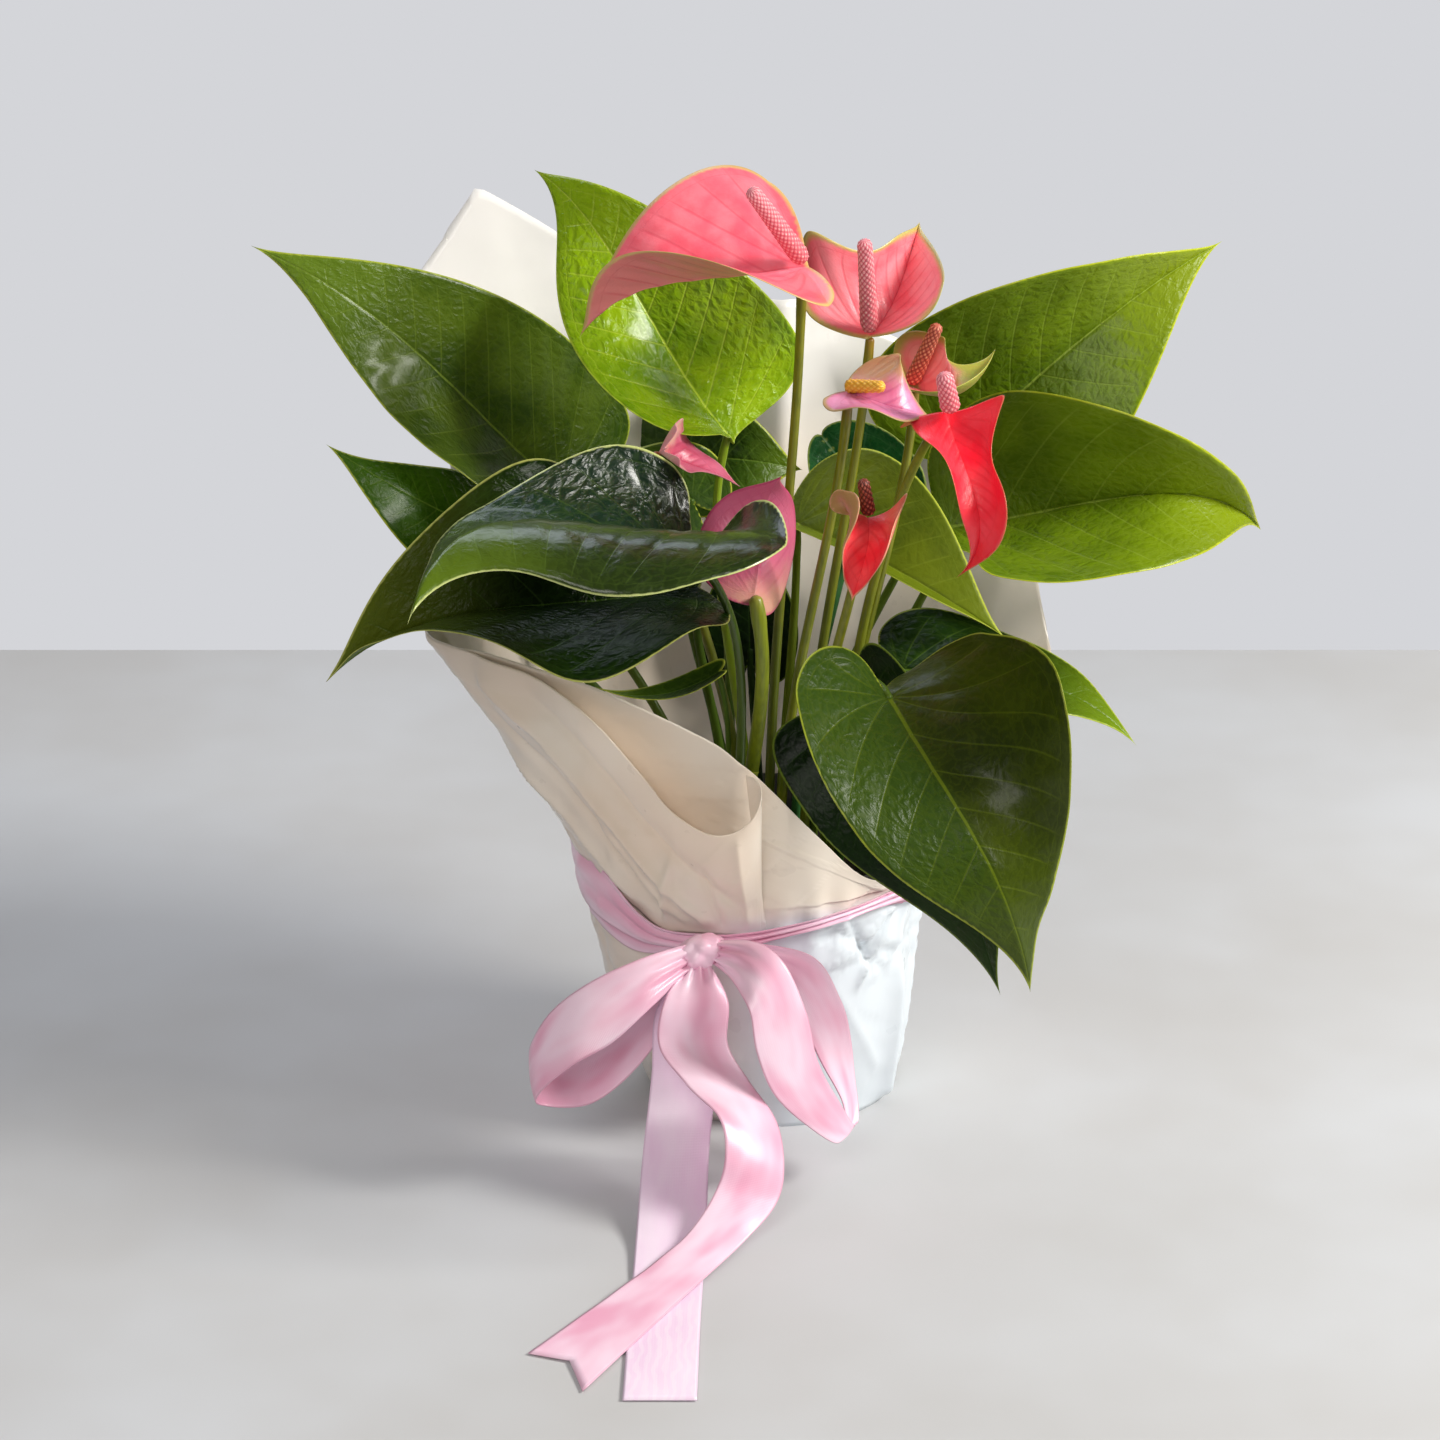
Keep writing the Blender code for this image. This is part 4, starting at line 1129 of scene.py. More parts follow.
@dataclass(frozen=True)
class Stalk:
    """Stalk that stands upright in the soil, bends over and reaches its end in a direction.

    clear is how far it stands straight out of the soil, upright and straight are the reach of the curve's
    handles at both ends as shares of the distance, and swells lists rises of the radius: how much, where
    along the stalk and over what share of it.
    """

    root: Triple
    end: Triple
    arrive: Triple
    radii: Pair
    depth: float = 6.0
    steps: int = 44
    sides: int = 14
    clear: float = 2.5
    upright: float = 0.42
    straight: float = 0.33
    swells: tuple[Triple, ...] = ((0.16, 0.95, 0.035), (0.12, 0.04, 0.05))

    def solid(self) -> Solid:
        """Tube along a Bezier curve, a little thicker at the foot and just below the end."""
        root = np.asarray(self.root, float)
        end = np.asarray(self.end, float)
        arrive = unit(self.arrive)
        reach = np.linalg.norm(end - root)
        foot = root + [0, 0, self.clear]
        above = root + [0, 0, self.upright * reach]
        bend = bezier((foot, above, end - self.straight * reach * arrive, end), self.steps)
        line = np.concatenate([[root - [0, 0, self.depth]], bend])
        share = np.linspace(0, 1, len(line))
        swell = 1 + sum(rise * bell(share, place, width) for rise, place, width in self.swells)
        radii = np.interp(share, (0, 1), self.radii) * swell
        last = radii[-1]
        line = np.concatenate([line, [end + arrive * last * 0.4, end + arrive * last * 0.7]])
        radii = np.concatenate([radii, [last * 0.8, last * 0.35]])
        return tube(line, radii, self.sides)


@dataclass(frozen=True)
class Spadix:
    """Pebbly spike of florets on two crossing sets of spirals.

    rise is the height of a floret, pitch the distance between florets and slant the slope of the spirals.
    """

    start: Triple
    top: Triple
    base_radius: float
    top_radius: float
    rows: int = 104
    sides: int = 72
    rise: float = 0.3
    pitch: float = 1.35
    slant: float = 0.62

    def solid(self) -> Solid:
        """Tapered rod with round ends; a floret stands where the crests of both spirals meet."""
        start = np.asarray(self.start, float)
        top = np.asarray(self.top, float)
        share = np.linspace(0, 1, self.rows)
        length = np.linalg.norm(top - start)
        radius = self.base_radius + (self.top_radius - self.base_radius) * share
        over = np.clip((share - 1) * length / self.top_radius + 1, 0, 1)
        round_top = np.sqrt(np.clip(1 - over ** 2, 0.03, 1))
        radius = radius * round_top * (0.78 + 0.22 * smooth(0, 0.08, share))
        ahead = unit(top - start)
        side = unit(np.cross(ahead, [0.3, 1.0, 0.1]))
        third = np.cross(ahead, side)
        turn = round_turn(self.sides)
        around = max(6, round(2 * math.pi * self.base_radius / self.pitch / 2 * 1.15))
        climb = 2 * math.pi * length / (self.pitch * 1.25)
        one = np.cos(around * turn[None, :] + self.slant * climb * share[:, None])
        two = np.cos((around + 2) * turn[None, :] - self.slant * climb * share[:, None])
        floret = np.clip(0.25 * (1 + one) * (1 + two), 0, 1) ** 0.6
        height = radius[:, None] + self.rise * floret * smooth(0.0, 0.4, round_top)[:, None]
        circle = np.cos(turn)[None, :, None] * side + np.sin(turn)[None, :, None] * third
        rings = (start + share[:, None] * (top - start))[:, None, :] + height[..., None] * circle
        values = {"floret": floret[..., None], "along": np.repeat(share[:, None], self.sides, 1)[..., None]}
        return ring_solid(rings, values)


# The crown: where each stalk leaves the soil

SOIL_TOP = 92.0
# A stalk roots at CROWN_REACH times the power CROWN_POWER of its joint's distance as a share of FAR_REACH
CROWN_REACH = 34.0
CROWN_POWER = 0.6
FAR_REACH = 110.0
ROOT_SPACING = 7.0
SPREADING_ROUNDS = 60
SEEN_ROOTS = {
    "stem_01": (1, -8), "stem_02": (15, -9), "stem_03": (5, -20), "stem_04": (26, -15), "stem_05": (27, -20),
    "stem_06": (14, -26), "stem_07": (-9, 0), "stem_08": (-9, -22), "leaf_03": (-12, -34),
    "leaf_05": (-17, -27), "leaf_06": (-6, 8), "leaf_07": (18, 26), "leaf_08": (24, 14), "leaf_09": (17, -17),
    "leaf_10": (28, -28), "leaf_11": (26, -6), "leaf_12": (6, 9), "leaf_14": (-14, 20), "leaf_17": (-3, -38),
}
STALK_WAYS = {
    "leaf_03": (-0.5, -0.5, 0.7), "leaf_07": (0.35, 0.43, 0.83), "leaf_09": (0.3, -0.93, -0.25),
    "leaf_10": (0.2, -0.5, 0.85),
    "stem_01": (0.0, -0.25, 0.97), "stem_05": (0.25, -0.75, 0.6), "stem_07": (-0.1, -0.3, 0.95),
}
# Radius of a stalk at its foot and at its end
LEAF_STALK = (2.1, 1.5)
SMALL_STALK = (1.2, 1.0)
BLOOM_STALK = (2.0, 1.7)
THICK_STALKS = {"08": (2.8, 2.6)}

LEAVES = {
    "01": Blade((-81, 45, 231), (-194, 7, 341), (-0.25, -0.41, 0.88), (44, 49), 18, 0.13, 0.62,
                (0.30, 0.43), (0.40, 0.32), (-1.05, 0.0), 11, 0.7, 2, -0.3),
    "02": Blade((-104, 22, 221), (-167, -9, 268), (-0.26, -0.70, 0.67), (29, 21), 16, fold=(0.1, -0.2),
                curl=(0.05, 0.0), sway=6),
    "03": Blade((-27, -66, 243), (-127, -156, 251), (-0.78, -0.14, 0.61), (66, 45), (12, 8), 0.15,
                (0.42, 0.75), (0.21, 0.71), (-1.3, 1.5), (-1.23, -1.26), 27, 0.54, 1, -0.14,
                (2.7, 7.9, 1.34, 0.03), (15, -1)),
    "04": Blade((-29, -21, 215), (-167, -45, 186), (-0.20, -0.28, 0.94), (64, 56), (2, 6), 0.30, (0.34, 0.30),
                (0.35, 0.35), (-0.45, 0.07), (0.30, 1.0), 18, 0.7, 9, 0.1, (12, -3, 1.8, 0.0)),
    "05": Blade((-19, -42, 188), (-65, -51, 186), (0.12, -0.34, 0.93), (9, 6), 4, fold=(0.45, 0.3), arch=-8),
    "06": Blade((-15, 19, 262), (-90, 72, 353), (0.31, -0.79, 0.54), (44, 46), 2, 0.12, 0.5,
                (0.80, 0.30), (-0.05, 0.20), (-1.20, 0.0), 18, 0.9, 4, -1.0),
    "07": Blade((77, 95, 229), (184, 123, 310), (0.06, -0.85, 0.53), (52, 48), 14, 0.14, 0.5,
                (0.40, 0.1), (0.0, 0.1), (0.60, 0.0), 14, 0.5, 3, 0.25),
    "08": Blade((74, 61, 210), (200, 80, 202), (0.09, -0.74, 0.66), (50, 62), 7, 0.24, 0.46,
                (0.40, 0.6), (0.0, 0.23), (0.65, 0.1), 28, 0.9, 2, 0.95),
    "09": Blade((44, -92, 198), (95, -141, 102), (0.56, -0.58, 0.33), (56, 43), (15, 20), 0.14, (0.54, 0.34),
                (0.51, -0.45), (1.5, 0.38), (-0.66, -0.15), 24, 0.25, -14, 0.53, (12.5, -0.4, 1.12, -0.11),
                (-12, 4)),
    "10": Blade((35, -52, 175), (88, -85, 74), (-0.27, -0.93, 0.24), (31, 39), 15, 0.16, 0.66,
                (0.40, 0.0), (0.13, 0.30), (0.13, -0.24), 10, -0.1, 9, 0.2),
    "11": Blade((52, -19, 180), (142, -28, 153), (0.10, -0.28, 0.95), (34, 36), 8, 0.13, 0.52,
                (0.0, 0.15), (0.0, 0.10), arch=10, skew=0.3, sway=5, wave=(3.5, 0, 1.3, 0.16)),
    "12": Blade((12, 33, 221), (92, -11, 190), (0.23, -0.59, 0.78), (41, 18), 10, 0.14, 0.46,
                (0.3, 0.60), (0.10, 0.30), arch=9, sway=-3),
    "13": Blade((37, 67, 226), (59, 64, 196), (0.07, -0.97, 0.22), (28, 18), 25, 0.13, 0.12,
                (0.42, 0.25), (0.23, 0.10), arch=3),
    "14": Blade((-31, 76, 234), (15, 73, 230), (0.0, -0.87, 0.50), (24, 26), (25, 15), fold=(0.2, 0.12)),
    "15": Blade((-29, 30, 232), (-57, 36, 250), (-0.10, -0.71, 0.70), (16, 19), 12),
    "16": Blade((-6, 65, 156), (-7, 79, 206), (0.0, -0.91, 0.41), (20, 20), 14, 0.14, 0.40, arch=3),
    "17": Blade((-9, -44, 143), (-3, -50, 151), (0.0, -0.8, 0.6), (4.5, 4.5), 3, arch=1),
}

SPATHES = {
    "01": Blade((12, -32, 344), (-70, -24, 315), (0.21, -0.43, 0.88), (39, 50), 5, 0.17, 0.51,
                (0.31, 0.12), (-0.15, 0.09), (1.75, 0.35), 16, 0.5, 5, 0.1),
    "02": Blade((38, -10.4, 311), (58, 33, 343), (-0.47, -0.63, 0.57), (35.3, 33.2), (9.2, 1), 0.13,
                (0.57, 0.59), (0.59, 0.04), (0.64, 0.52), (1.04, 0.51), -2.9, -0.9, -1.4, 0.29,
                (12, 0.53, 1.14, 0.07), (0.9, 0.2)),
    "03": Blade((29, -48, 301), (59, -45, 291), (-0.18, -0.38, 0.87), (24.7, 15.3), (3.9, 2), 0.16,
                (0.55, 0.52), (0.47, 0.18), (-0.33, -0.12), (0.05, 0.44), 5.7, 0, -7.7, 0,
                (0.6, -3.6, 1.65, 0.19), (-0.9, -0.7)),
    "04": Blade((55, -7, 290), (85, -10, 306), (-0.23, -0.56, 0.80), (22, 16), 9, fold=(0.45, 1.0),
                curl=(0.12, 0.27), arch=0, sway=-12),
    "05": Blade((65, -58, 296), (69, -71, 237), (0.46, -0.72, 0.44), (20, 12), (1, 4), 0.08, (0.50, 0.71),
                (0.07, -0.15), (1.25, 0.08), (1.55, 0.15), 20, 0.56, -3, -0.36, (10, -7, 1.29, 0.32),
                (-1, -15)),
    "06": Blade((36, -68, 259), (30, -85, 233), (0.41, -0.74, 0.34), (20, 21), (2, 7), 0.32, (0.59, 0.67),
                (0.48, -0.22), (1.34, 1.83), (1.33, 0.09), 6, -0.28, -1, -0.31, (2, -4, 1.78, -0.67),
                (-6, -10)),
    "07": Blade((-40.4, -28, 271), (-10.5, -29, 258), (0.04, -0.57, 0.81), (12.9, 15.3), (1, 1), 0.09,
                (0.45, 0.5), (0.46, 0.83), (-0.15, 0), (-0.52, -0.19), -4.6, -0.26, 3.8, -0.52,
                (6, 0, 1.06, 0.27), (5.4, 4.3)),
    "08": Blade((-6, -43, 217), (5, -37, 265), (-0.20, 0.88, 0.43), (21, 25), 2, 0.36, 0.25,
                (0.2, 0.3), (0.7, 0.7), (-0.2, 0.0), 15, 0.5, 4),
}

# Top of the spadix, its radius at the base and at the top
SPADICES = {
    "01": ((-7, -54, 379), 3.6, 2.7),
    "02": ((35, -28, 353), 3.3, 2.6),
    "03": ((42, -57, 306), 2.5, 2.0),
    "04": ((63, -19, 318), 3.0, 2.2),
    "05": ((63, -66, 314), 3.6, 3.0),
    "06": ((34, -74, 276), 2.6, 2.0),
}

DARK = LeafFinish("dark leaf", right=(60, 96, 30))
SIDE = LeafFinish("side leaf", (38, 70, 6), (58, 94, 10), (60, 98, 10))
SHADE = LeafFinish("shaded leaf", (8, 22, 6), (18, 38, 8), (30, 56, 10), (40, 66, 18), (104, 124, 44),
                   (36, 58, 18), coat=0.05, specular=0.1)
# Leaf 04: near-black colours from the joint to its middle are painted shade under leaf 03; the olive tip is
# where it is lit.
SHADED_DRAPED = LeafFinish("draped leaf in painted shade", (12, 28, 6), (24, 44, 8), (92, 104, 26), (62, 88, 30), (176, 180, 96),
                    (84, 108, 30), rough=0.3, coat=0.03, crinkle=0.35, specular=0.07)
# Leaf 11: the nearly black inner part is painted shade of the crown; the bright tip is where it is lit.
OUTER = LeafFinish("outer leaf in painted shade", (14, 34, 6), (28, 54, 8), (112, 140, 12), (90, 120, 30), (170, 184, 60),
                   (70, 96, 26), coat=0.1)
OLIVE = LeafFinish("olive leaf", (44, 68, 6), (78, 100, 18), (96, 122, 26), (116, 138, 46), (160, 172, 60),
                   (84, 108, 30), coat=0.15)
MATT = LeafFinish("matt leaf", (74, 90, 4), (98, 112, 8), (104, 120, 8), (124, 140, 36), (170, 180, 60),
                  (96, 116, 20), rough=0.5, coat=0.0, crinkle=0.12)
# Leaf 06: its pale yellow-green is partly a young leaf's own colour and partly painted light shining through
# it from behind.
YOUNG = LeafFinish("young leaf", (96, 134, 4), (138, 172, 8), (140, 176, 10), (184, 208, 66), (176, 198, 60),
                   (128, 158, 30), 0.45, 0.27, 0.3, 0.55, 6.0)
MIDDLE = LeafFinish("middle leaf", (80, 106, 6), (106, 132, 14), (130, 148, 14), (146, 168, 64),
                    (184, 194, 44), (96, 122, 24), crinkle=0.3)
# Leaf 03: the dark near half is painted shade; the far half, which faces the sky, takes a teal tint of painted
# reflection; its lobes take painted shade.
CREST = LeafFinish("crested leaf", (24, 38, 5), (38, 54, 8), (88, 112, 16), (90, 116, 40), (196, 206, 130),
                   (76, 100, 30), 0.2, 0.32, 0.4, 0.45, 5.5, (8, 38, 20), 0.9, 0.8, 0.3)
# Leaf 09: the half at right of its midrib is painted lighter, light on the half that faces the sky.
HEART = LeafFinish("heart leaf", (40, 52, 4), (56, 68, 4), (62, 78, 6), (96, 112, 18), (150, 162, 50),
                   (70, 96, 26), 0.32, 0.36, 0.15, 0.3, 5.0, (48, 74, 16), 0.7)
EMERALD = LeafFinish("emerald leaf", (16, 74, 34), (34, 106, 48), (50, 116, 50), (96, 156, 96),
                     (160, 180, 90), (60, 110, 50), 0.3, 0.28, 0.4, 0.35, 5.0)

LEAF_FINISHES = {
    "01": OLIVE, "02": SIDE, "03": CREST, "04": SHADED_DRAPED, "05": DARK, "06": YOUNG, "07": MIDDLE, "08": MIDDLE,
    "09": HEART, "10": SHADE, "11": OUTER, "12": MATT, "13": EMERALD, "14": DARK, "15": DARK, "16": SHADE,
    "17": OLIVE,
}

SPATHE_FINISHES = {
    # Spathe 01: its pale back is partly its own colour and partly painted light shining through the thin
    # spathe.
    "01": SpatheFinish("salmon spathe", (244, 98, 118), (250, 130, 144), (224, 66, 92), (206, 190, 110),
                       (-1.0, 0.35, 4.0, 26.0), (214, 190, 110), 2.2, (252, 148, 144)),
    "02": SpatheFinish("rose spathe", (250, 106, 122), (255, 146, 156), (230, 60, 86), (192, 190, 92),
                       (-0.35, -0.9, 18.0, 30.0), (190, 190, 96), 3.0, (214, 150, 130)),
    "03": SpatheFinish("lilac spathe", (214, 104, 142), (228, 146, 186), (180, 70, 120), (190, 140, 96),
                       (-0.3, 1.0, 0.0, 13.0), (190, 170, 100), 1.8, (196, 150, 140)),
    "04": SpatheFinish("mixed spathe", (248, 116, 122), (252, 152, 152), (230, 84, 96), (176, 184, 76),
                       (1.0, -0.3, 12.0, 24.0), (186, 186, 80), 4.0, (200, 168, 110)),
    "05": SpatheFinish("scarlet spathe", (254, 18, 48), (255, 60, 76), (232, 6, 34), (190, 140, 80),
                       (-1.0, 0.2, 6.0, 20.0), (240, 120, 90), 0.8, (232, 116, 88)),
    "06": SpatheFinish("coral spathe", (244, 40, 58), (254, 92, 98), (220, 18, 40), (168, 156, 76),
                       (-0.4, -0.9, 4.0, 9.0), (238, 176, 140), 1.2, (236, 128, 116)),
    "07": SpatheFinish("furled spathe", (196, 64, 98), (226, 120, 150), (170, 40, 80), (240, 226, 190),
                       (-1.0, 0.0, -6.0, 5.0), (226, 150, 160), 0.8, (206, 90, 122)),
    "08": SpatheFinish("blush spathe", (214, 118, 140), (236, 160, 168), (190, 64, 110), (216, 178, 140),
                       (-0.9, 0.5, -16.0, 4.0), (206, 80, 124), 1.6, (216, 104, 138)),
}
PINK_SPADIX = SpadixFinish("pink spadix")
RED_SPADIX = SpadixFinish("red spadix", (204, 96, 76), (214, 116, 92), (150, 58, 48), (244, 190, 150))
GOLD_SPADIX = SpadixFinish("gold spadix", (236, 176, 50), (250, 200, 70), (226, 160, 44), (252, 216, 110),
                           0.4)
BROWN_SPADIX = SpadixFinish("brown spadix", (128, 52, 40), (150, 70, 56), (70, 24, 18), (196, 130, 110))
SPADIX_FINISHES = {
    "01": PINK_SPADIX, "02": PINK_SPADIX, "03": GOLD_SPADIX, "04": RED_SPADIX, "05": PINK_SPADIX,
    "06": BROWN_SPADIX,
}


def spread_roots() -> dict[str, Array]:
    """Places of all stalks in the soil; pairs nearer than the spacing push each other apart by the lack."""
    joints = {f"leaf_{number}": blade.joint for number, blade in LEAVES.items()}
    joints.update({f"stem_{number}": blade.joint for number, blade in SPATHES.items()})
    places = []
    for name, joint in joints.items():
        reach = math.hypot(joint[0], joint[1])
        share = CROWN_REACH / reach * (reach / FAR_REACH) ** CROWN_POWER
        places.append(SEEN_ROOTS.get(name, (joint[0] * share, joint[1] * share)))
    places = np.array(places, float)
    for _ in range(SPREADING_ROUNDS):
        apart = places[:, None] - places[None]
        distance = np.linalg.norm(apart, axis=-1)
        lack = np.clip(ROOT_SPACING - distance, 0, None) / 2
        np.fill_diagonal(lack, 0)
        places += (apart / np.maximum(distance, 1e-6)[..., None] * lack[..., None]).sum(1)
    return {name: np.array([x, y, SOIL_TOP]) for name, (x, y) in zip(joints, places)}


@dataclass
class Plant:
    """The leaves on their petioles and the blooms on their stems.

    small_leaf is the half width up to which a blade has fewer points. off_rim is the distance from the rim
    and off_veins the values of the veins that keep both off a petiole. gap is left under and over a spathe.
    """

    leaves: dict[str, Blade] = field(default_factory=lambda: LEAVES)
    spathes: dict[str, Blade] = field(default_factory=lambda: SPATHES)
    small_leaf: float = 33.0
    off_rim: float = 20.0
    off_veins: Triple = (0.5, 10.0, 0.75)
    gap: float = 0.2

    def build_leaf(self, number: str, root: Array, look: Material) -> None:
        """One leaf: its blade, and its petiole coming up into the joint from behind and below.

        Args:
            number: number of the leaf.
            root: place of its petiole in the soil.
            look: its material.
        """
        blade = self.leaves[number]
        joint = np.asarray(blade.joint, float)
        normal = blade.joint_normal()
        arrive = unit(STALK_WAYS.get(f"leaf_{number}", unit(joint - root) + 0.7 * normal))
        radii = LEAF_STALK if blade.half[0] > 10 else SMALL_STALK
        size = max(blade.half)
        counts, rings = (Rim.LARGE, 32) if size > self.small_leaf else (Rim.SMALL, 22)
        skin = Skin(blade, counts, rings, quilt=0.007 * size, spacing=0.30 * size, rib=0.018 * size,
                    sway=0.011 * size, seed=int(number)).solid()
        stalk = Stalk(root, joint - 0.4 * normal, arrive, radii).solid()
        count = len(stalk.points)
        stalk.values = {
            "along": np.zeros((count, 1)),
            "flat": stalk.points * [1, 1, 0] + [0, 0, self.off_rim],
            "vein": np.tile(self.off_veins, (count, 1)),
            "upper": np.full((count, 1), 0.5),
        }
        make_piece(f"dressed_leaf_{number}", skin.joined(stalk), look, [f"leaf_{number}"])

    def build_bloom(self, number: str, root: Array, stem_look: Material) -> None:
        """One bloom: its spathe, its stem and, where it is open, its spadix.

        Args:
            number: number of the bloom.
            root: place of its stem in the soil.
            stem_look: material of the stem.
        """
        blade = self.spathes[number]
        joint = np.asarray(blade.joint, float)
        normal = blade.joint_normal()
        size = max(blade.half)
        counts = Rim.LARGE if size > self.small_leaf else Rim.SMALL
        skin = Skin(blade, counts, 30, thick=0.6, quilt=0.008 * size, spacing=0.26 * size, rib=0.015 * size,
                    sway=0.008 * size, seed=40 + int(number), rise=1.1, fan=20.0)
        look = SPATHE_FINISHES[number].material()
        make_piece(f"dressed_spathe_{number}", skin.solid(), look, [f"spathe_{number}"])
        arrive = unit(STALK_WAYS.get(f"stem_{number}", unit(joint - root) + 0.35 * normal))
        radii = THICK_STALKS.get(number, BLOOM_STALK)
        stem = Stalk(root, joint - normal * (radii[1] + self.gap), arrive, radii).solid()
        make_piece(f"dressed_stem_{number}", stem, stem_look, [f"stem_{number}"])
        if number in SPADICES:
            top, base, tip = SPADICES[number]
            spadix = Spadix(joint + normal * (base + self.gap), top, base, tip).solid()
            look = SPADIX_FINISHES[number].material()
            make_piece(f"dressed_spadix_{number}", spadix, look, [f"spadix_{number}"])

    def build(self) -> None:
        """Builds every leaf and bloom."""
        roots = spread_roots()
        looks = {finish.name: finish.material() for finish in dict.fromkeys(LEAF_FINISHES.values())}
        for number in self.leaves:
            self.build_leaf(number, roots[f"leaf_{number}"], looks[LEAF_FINISHES[number].name])
        stem = StemFinish("bloom stem").material()
        pale = StemFinish("pale stem", (104, 120, 16), (136, 148, 30), (168, 164, 70)).material()
        for number in self.spathes:
            self.build_bloom(number, roots[f"stem_{number}"], pale if number == "08" else stem)


# Paper wrap

# Reach at which the paper's azimuths are laid out flat, and at which fold lines have their width
FLAT_REACH = 66.0
FOLD_REACH = 80.0


def facets(x: Array, y: Array, wave: float, seed: int) -> Array:
    """Crisp crumples from -1 to 1: the mean of four triangle waves whose directions come from the seed.

    Args:
        x: first flat coordinate.
        y: second flat coordinate.
        wave: mean wavelength in the same units.
        seed: seed of the random numbers.

    Returns:
        Array of heights, flat between sharp folds.
    """
    rng = np.random.default_rng(seed)
    total = np.zeros(np.broadcast(x, y).shape)
    for _ in range(4):
        turn, phase = rng.uniform(0, 2 * math.pi), rng.uniform()
        length = wave * rng.uniform(0.7, 1.5)
        total += 4 * np.abs((x * math.cos(turn) + y * math.sin(turn)) / length % 1 - phase) % 2 - 1
    return total / 4


@dataclass
class Wrap:
    """Paper round the pot, with its high back, its flare and the roll folded at the front.

    rim lists azimuth in degrees from +X, reach from the axis and height. lip lists the azimuth of a column's
    foot, then azimuth, reach and height of its top, and feet the azimuth and height of the feet. creases and
    folds list the azimuth and height of both ends of a fold line, its half width in millimetres and its rise,
    on the shell and on the roll. The reaches are those at 0, 90, 180 and 270 degrees, taper the share of the
    way from the lower to the upper one at shares of the height, and clear the roll's distance from the shell.
    pleats are the count, rise and reach of the gathers at the tie, and waves the wavelengths of crisp and of
    slow unevenness.
    """

    thick: float = 0.35
    columns: int = 330
    waist: float = 100.0
    flare_bend: float = 1.15
    tie: float = 92.0
    seam: float = 90.0
    peak: float = 135.0
    base_reach: Quad = (53.0, 50.0, 47.0, 50.0)
    waist_reach: Quad = (61.5, 64.0, 72.0, 65.5)
    taper: tuple[Pair, ...] = ((0.0, 0.0), (0.35, 0.55), (0.68, 0.84), (1.0, 1.0))
    clear: float = 0.5
    pleats: Triple = (23, 0.6, 15.0)
    waves: Pair = (34.0, 60.0)
    rim: tuple[Triple, ...] = (
        (0, 95, 144), (18, 118, 157), (27, 128, 161), (36, 133, 200), (45, 148, 234), (54, 143, 253),
        (63, 132, 268), (81, 108, 290), (90, 101, 293), (117, 121, 301), (126, 140, 316), (135, 163, 335),
        (144, 168, 305), (153, 141, 275), (162, 130, 248), (171, 125, 222), (180, 126, 206), (189, 131, 193),
        (198, 112, 193), (216, 88, 188), (234, 73, 178), (252, 68.5, 169), (261, 67, 161), (270, 63, 150),
        (288, 63, 128), (306, 67, 108), (324, 68, 108), (342, 77, 125),
    )
    lip: tuple[Quad, ...] = (
        (184, 184, 125, 199), (195, 196, 116, 192), (205, 206, 102, 189), (214, 214, 95, 184),
        (224, 225, 89.5, 174), (236, 237, 87.5, 159), (245, 245, 87, 147), (252, 254, 86, 139.5),
        (258, 260, 84, 139), (263, 265, 81.5, 143), (266, 267.5, 78, 148.5), (268, 268, 73.5, 153.5),
        (269, 266, 70, 156), (270, 263, 67.8, 156.5),
    )
    feet: tuple[Pair, ...] = ((184, 104), (206, 105), (216, 101), (228, 92), (238, 88), (252, 91))
    creases: tuple[FoldLine, ...] = (
        (168, 215, 184, 98, 6, 2), (150, 262, 168, 104, 6, -2.2), (146, 300, 150, 110, 7, 2),
        (126, 292, 130, 100, 7, -2.2), (104, 286, 108, 100, 6, 2), (84, 280, 84, 96, 6, -2),
        (62, 258, 66, 100, 6, 2.2), (44, 222, 50, 96, 6, -2.2), (24, 155, 34, 90, 5, 2),
        (2, 140, 12, 88, 5, -1.8), (318, 90, 290, 70, 2, 2.4), (300, 92, 312, 66, 2, -2.2),
        (330, 106, 306, 62, 2, 3), (292, 92, 318, 64, 2, -1.6), (344, 116, 322, 66, 2.5, 2),
        (352, 100, 340, 12, 3, 2), (334, 96, 344, 60, 2, -1.4), (296, 60, 320, 20, 4, 0.9),
        (328, 60, 330, -8, 7, 5), (250, 60, 262, 12, 5, 0.9), (222, 66, 214, 10, 5, 1),
        (200, 78, 204, 20, 5, -1),
    )
    folds: tuple[FoldLine, ...] = (
        (196, 178, 250, 98, 5, 4.4), (190, 168, 236, 97, 4, -3.6), (188, 150, 226, 96, 4.5, 4),
        (206, 178, 262, 104, 5, -2.8), (243, 122, 237, 94, 1.8, 2.6), (252, 120, 256, 94, 2, -2),
        (222, 128, 243, 96, 3, 2.6), (262, 135, 264, 96, 2.5, 1.8), (186, 124, 212, 96, 4, -2.4),
    )

    def side_reach(self, azimuth: Array, values: Quad) -> Array:
        """Reach at an azimuth in degrees: mean of the four sides plus their first and second cosine terms.

        Args:
            azimuth: azimuths in degrees.
            values: reach at 0, 90, 180 and 270 degrees.

        Returns:
            Array of reaches.
        """
        turn = np.radians(azimuth)
        right, back, left, front = values
        first = (right - left) / 2 * np.cos(turn)
        second = (back - front) / 2 * np.sin(turn)
        return sum(values) / 4 + first + second + (right + left - back - front) / 4 * np.cos(2 * turn)

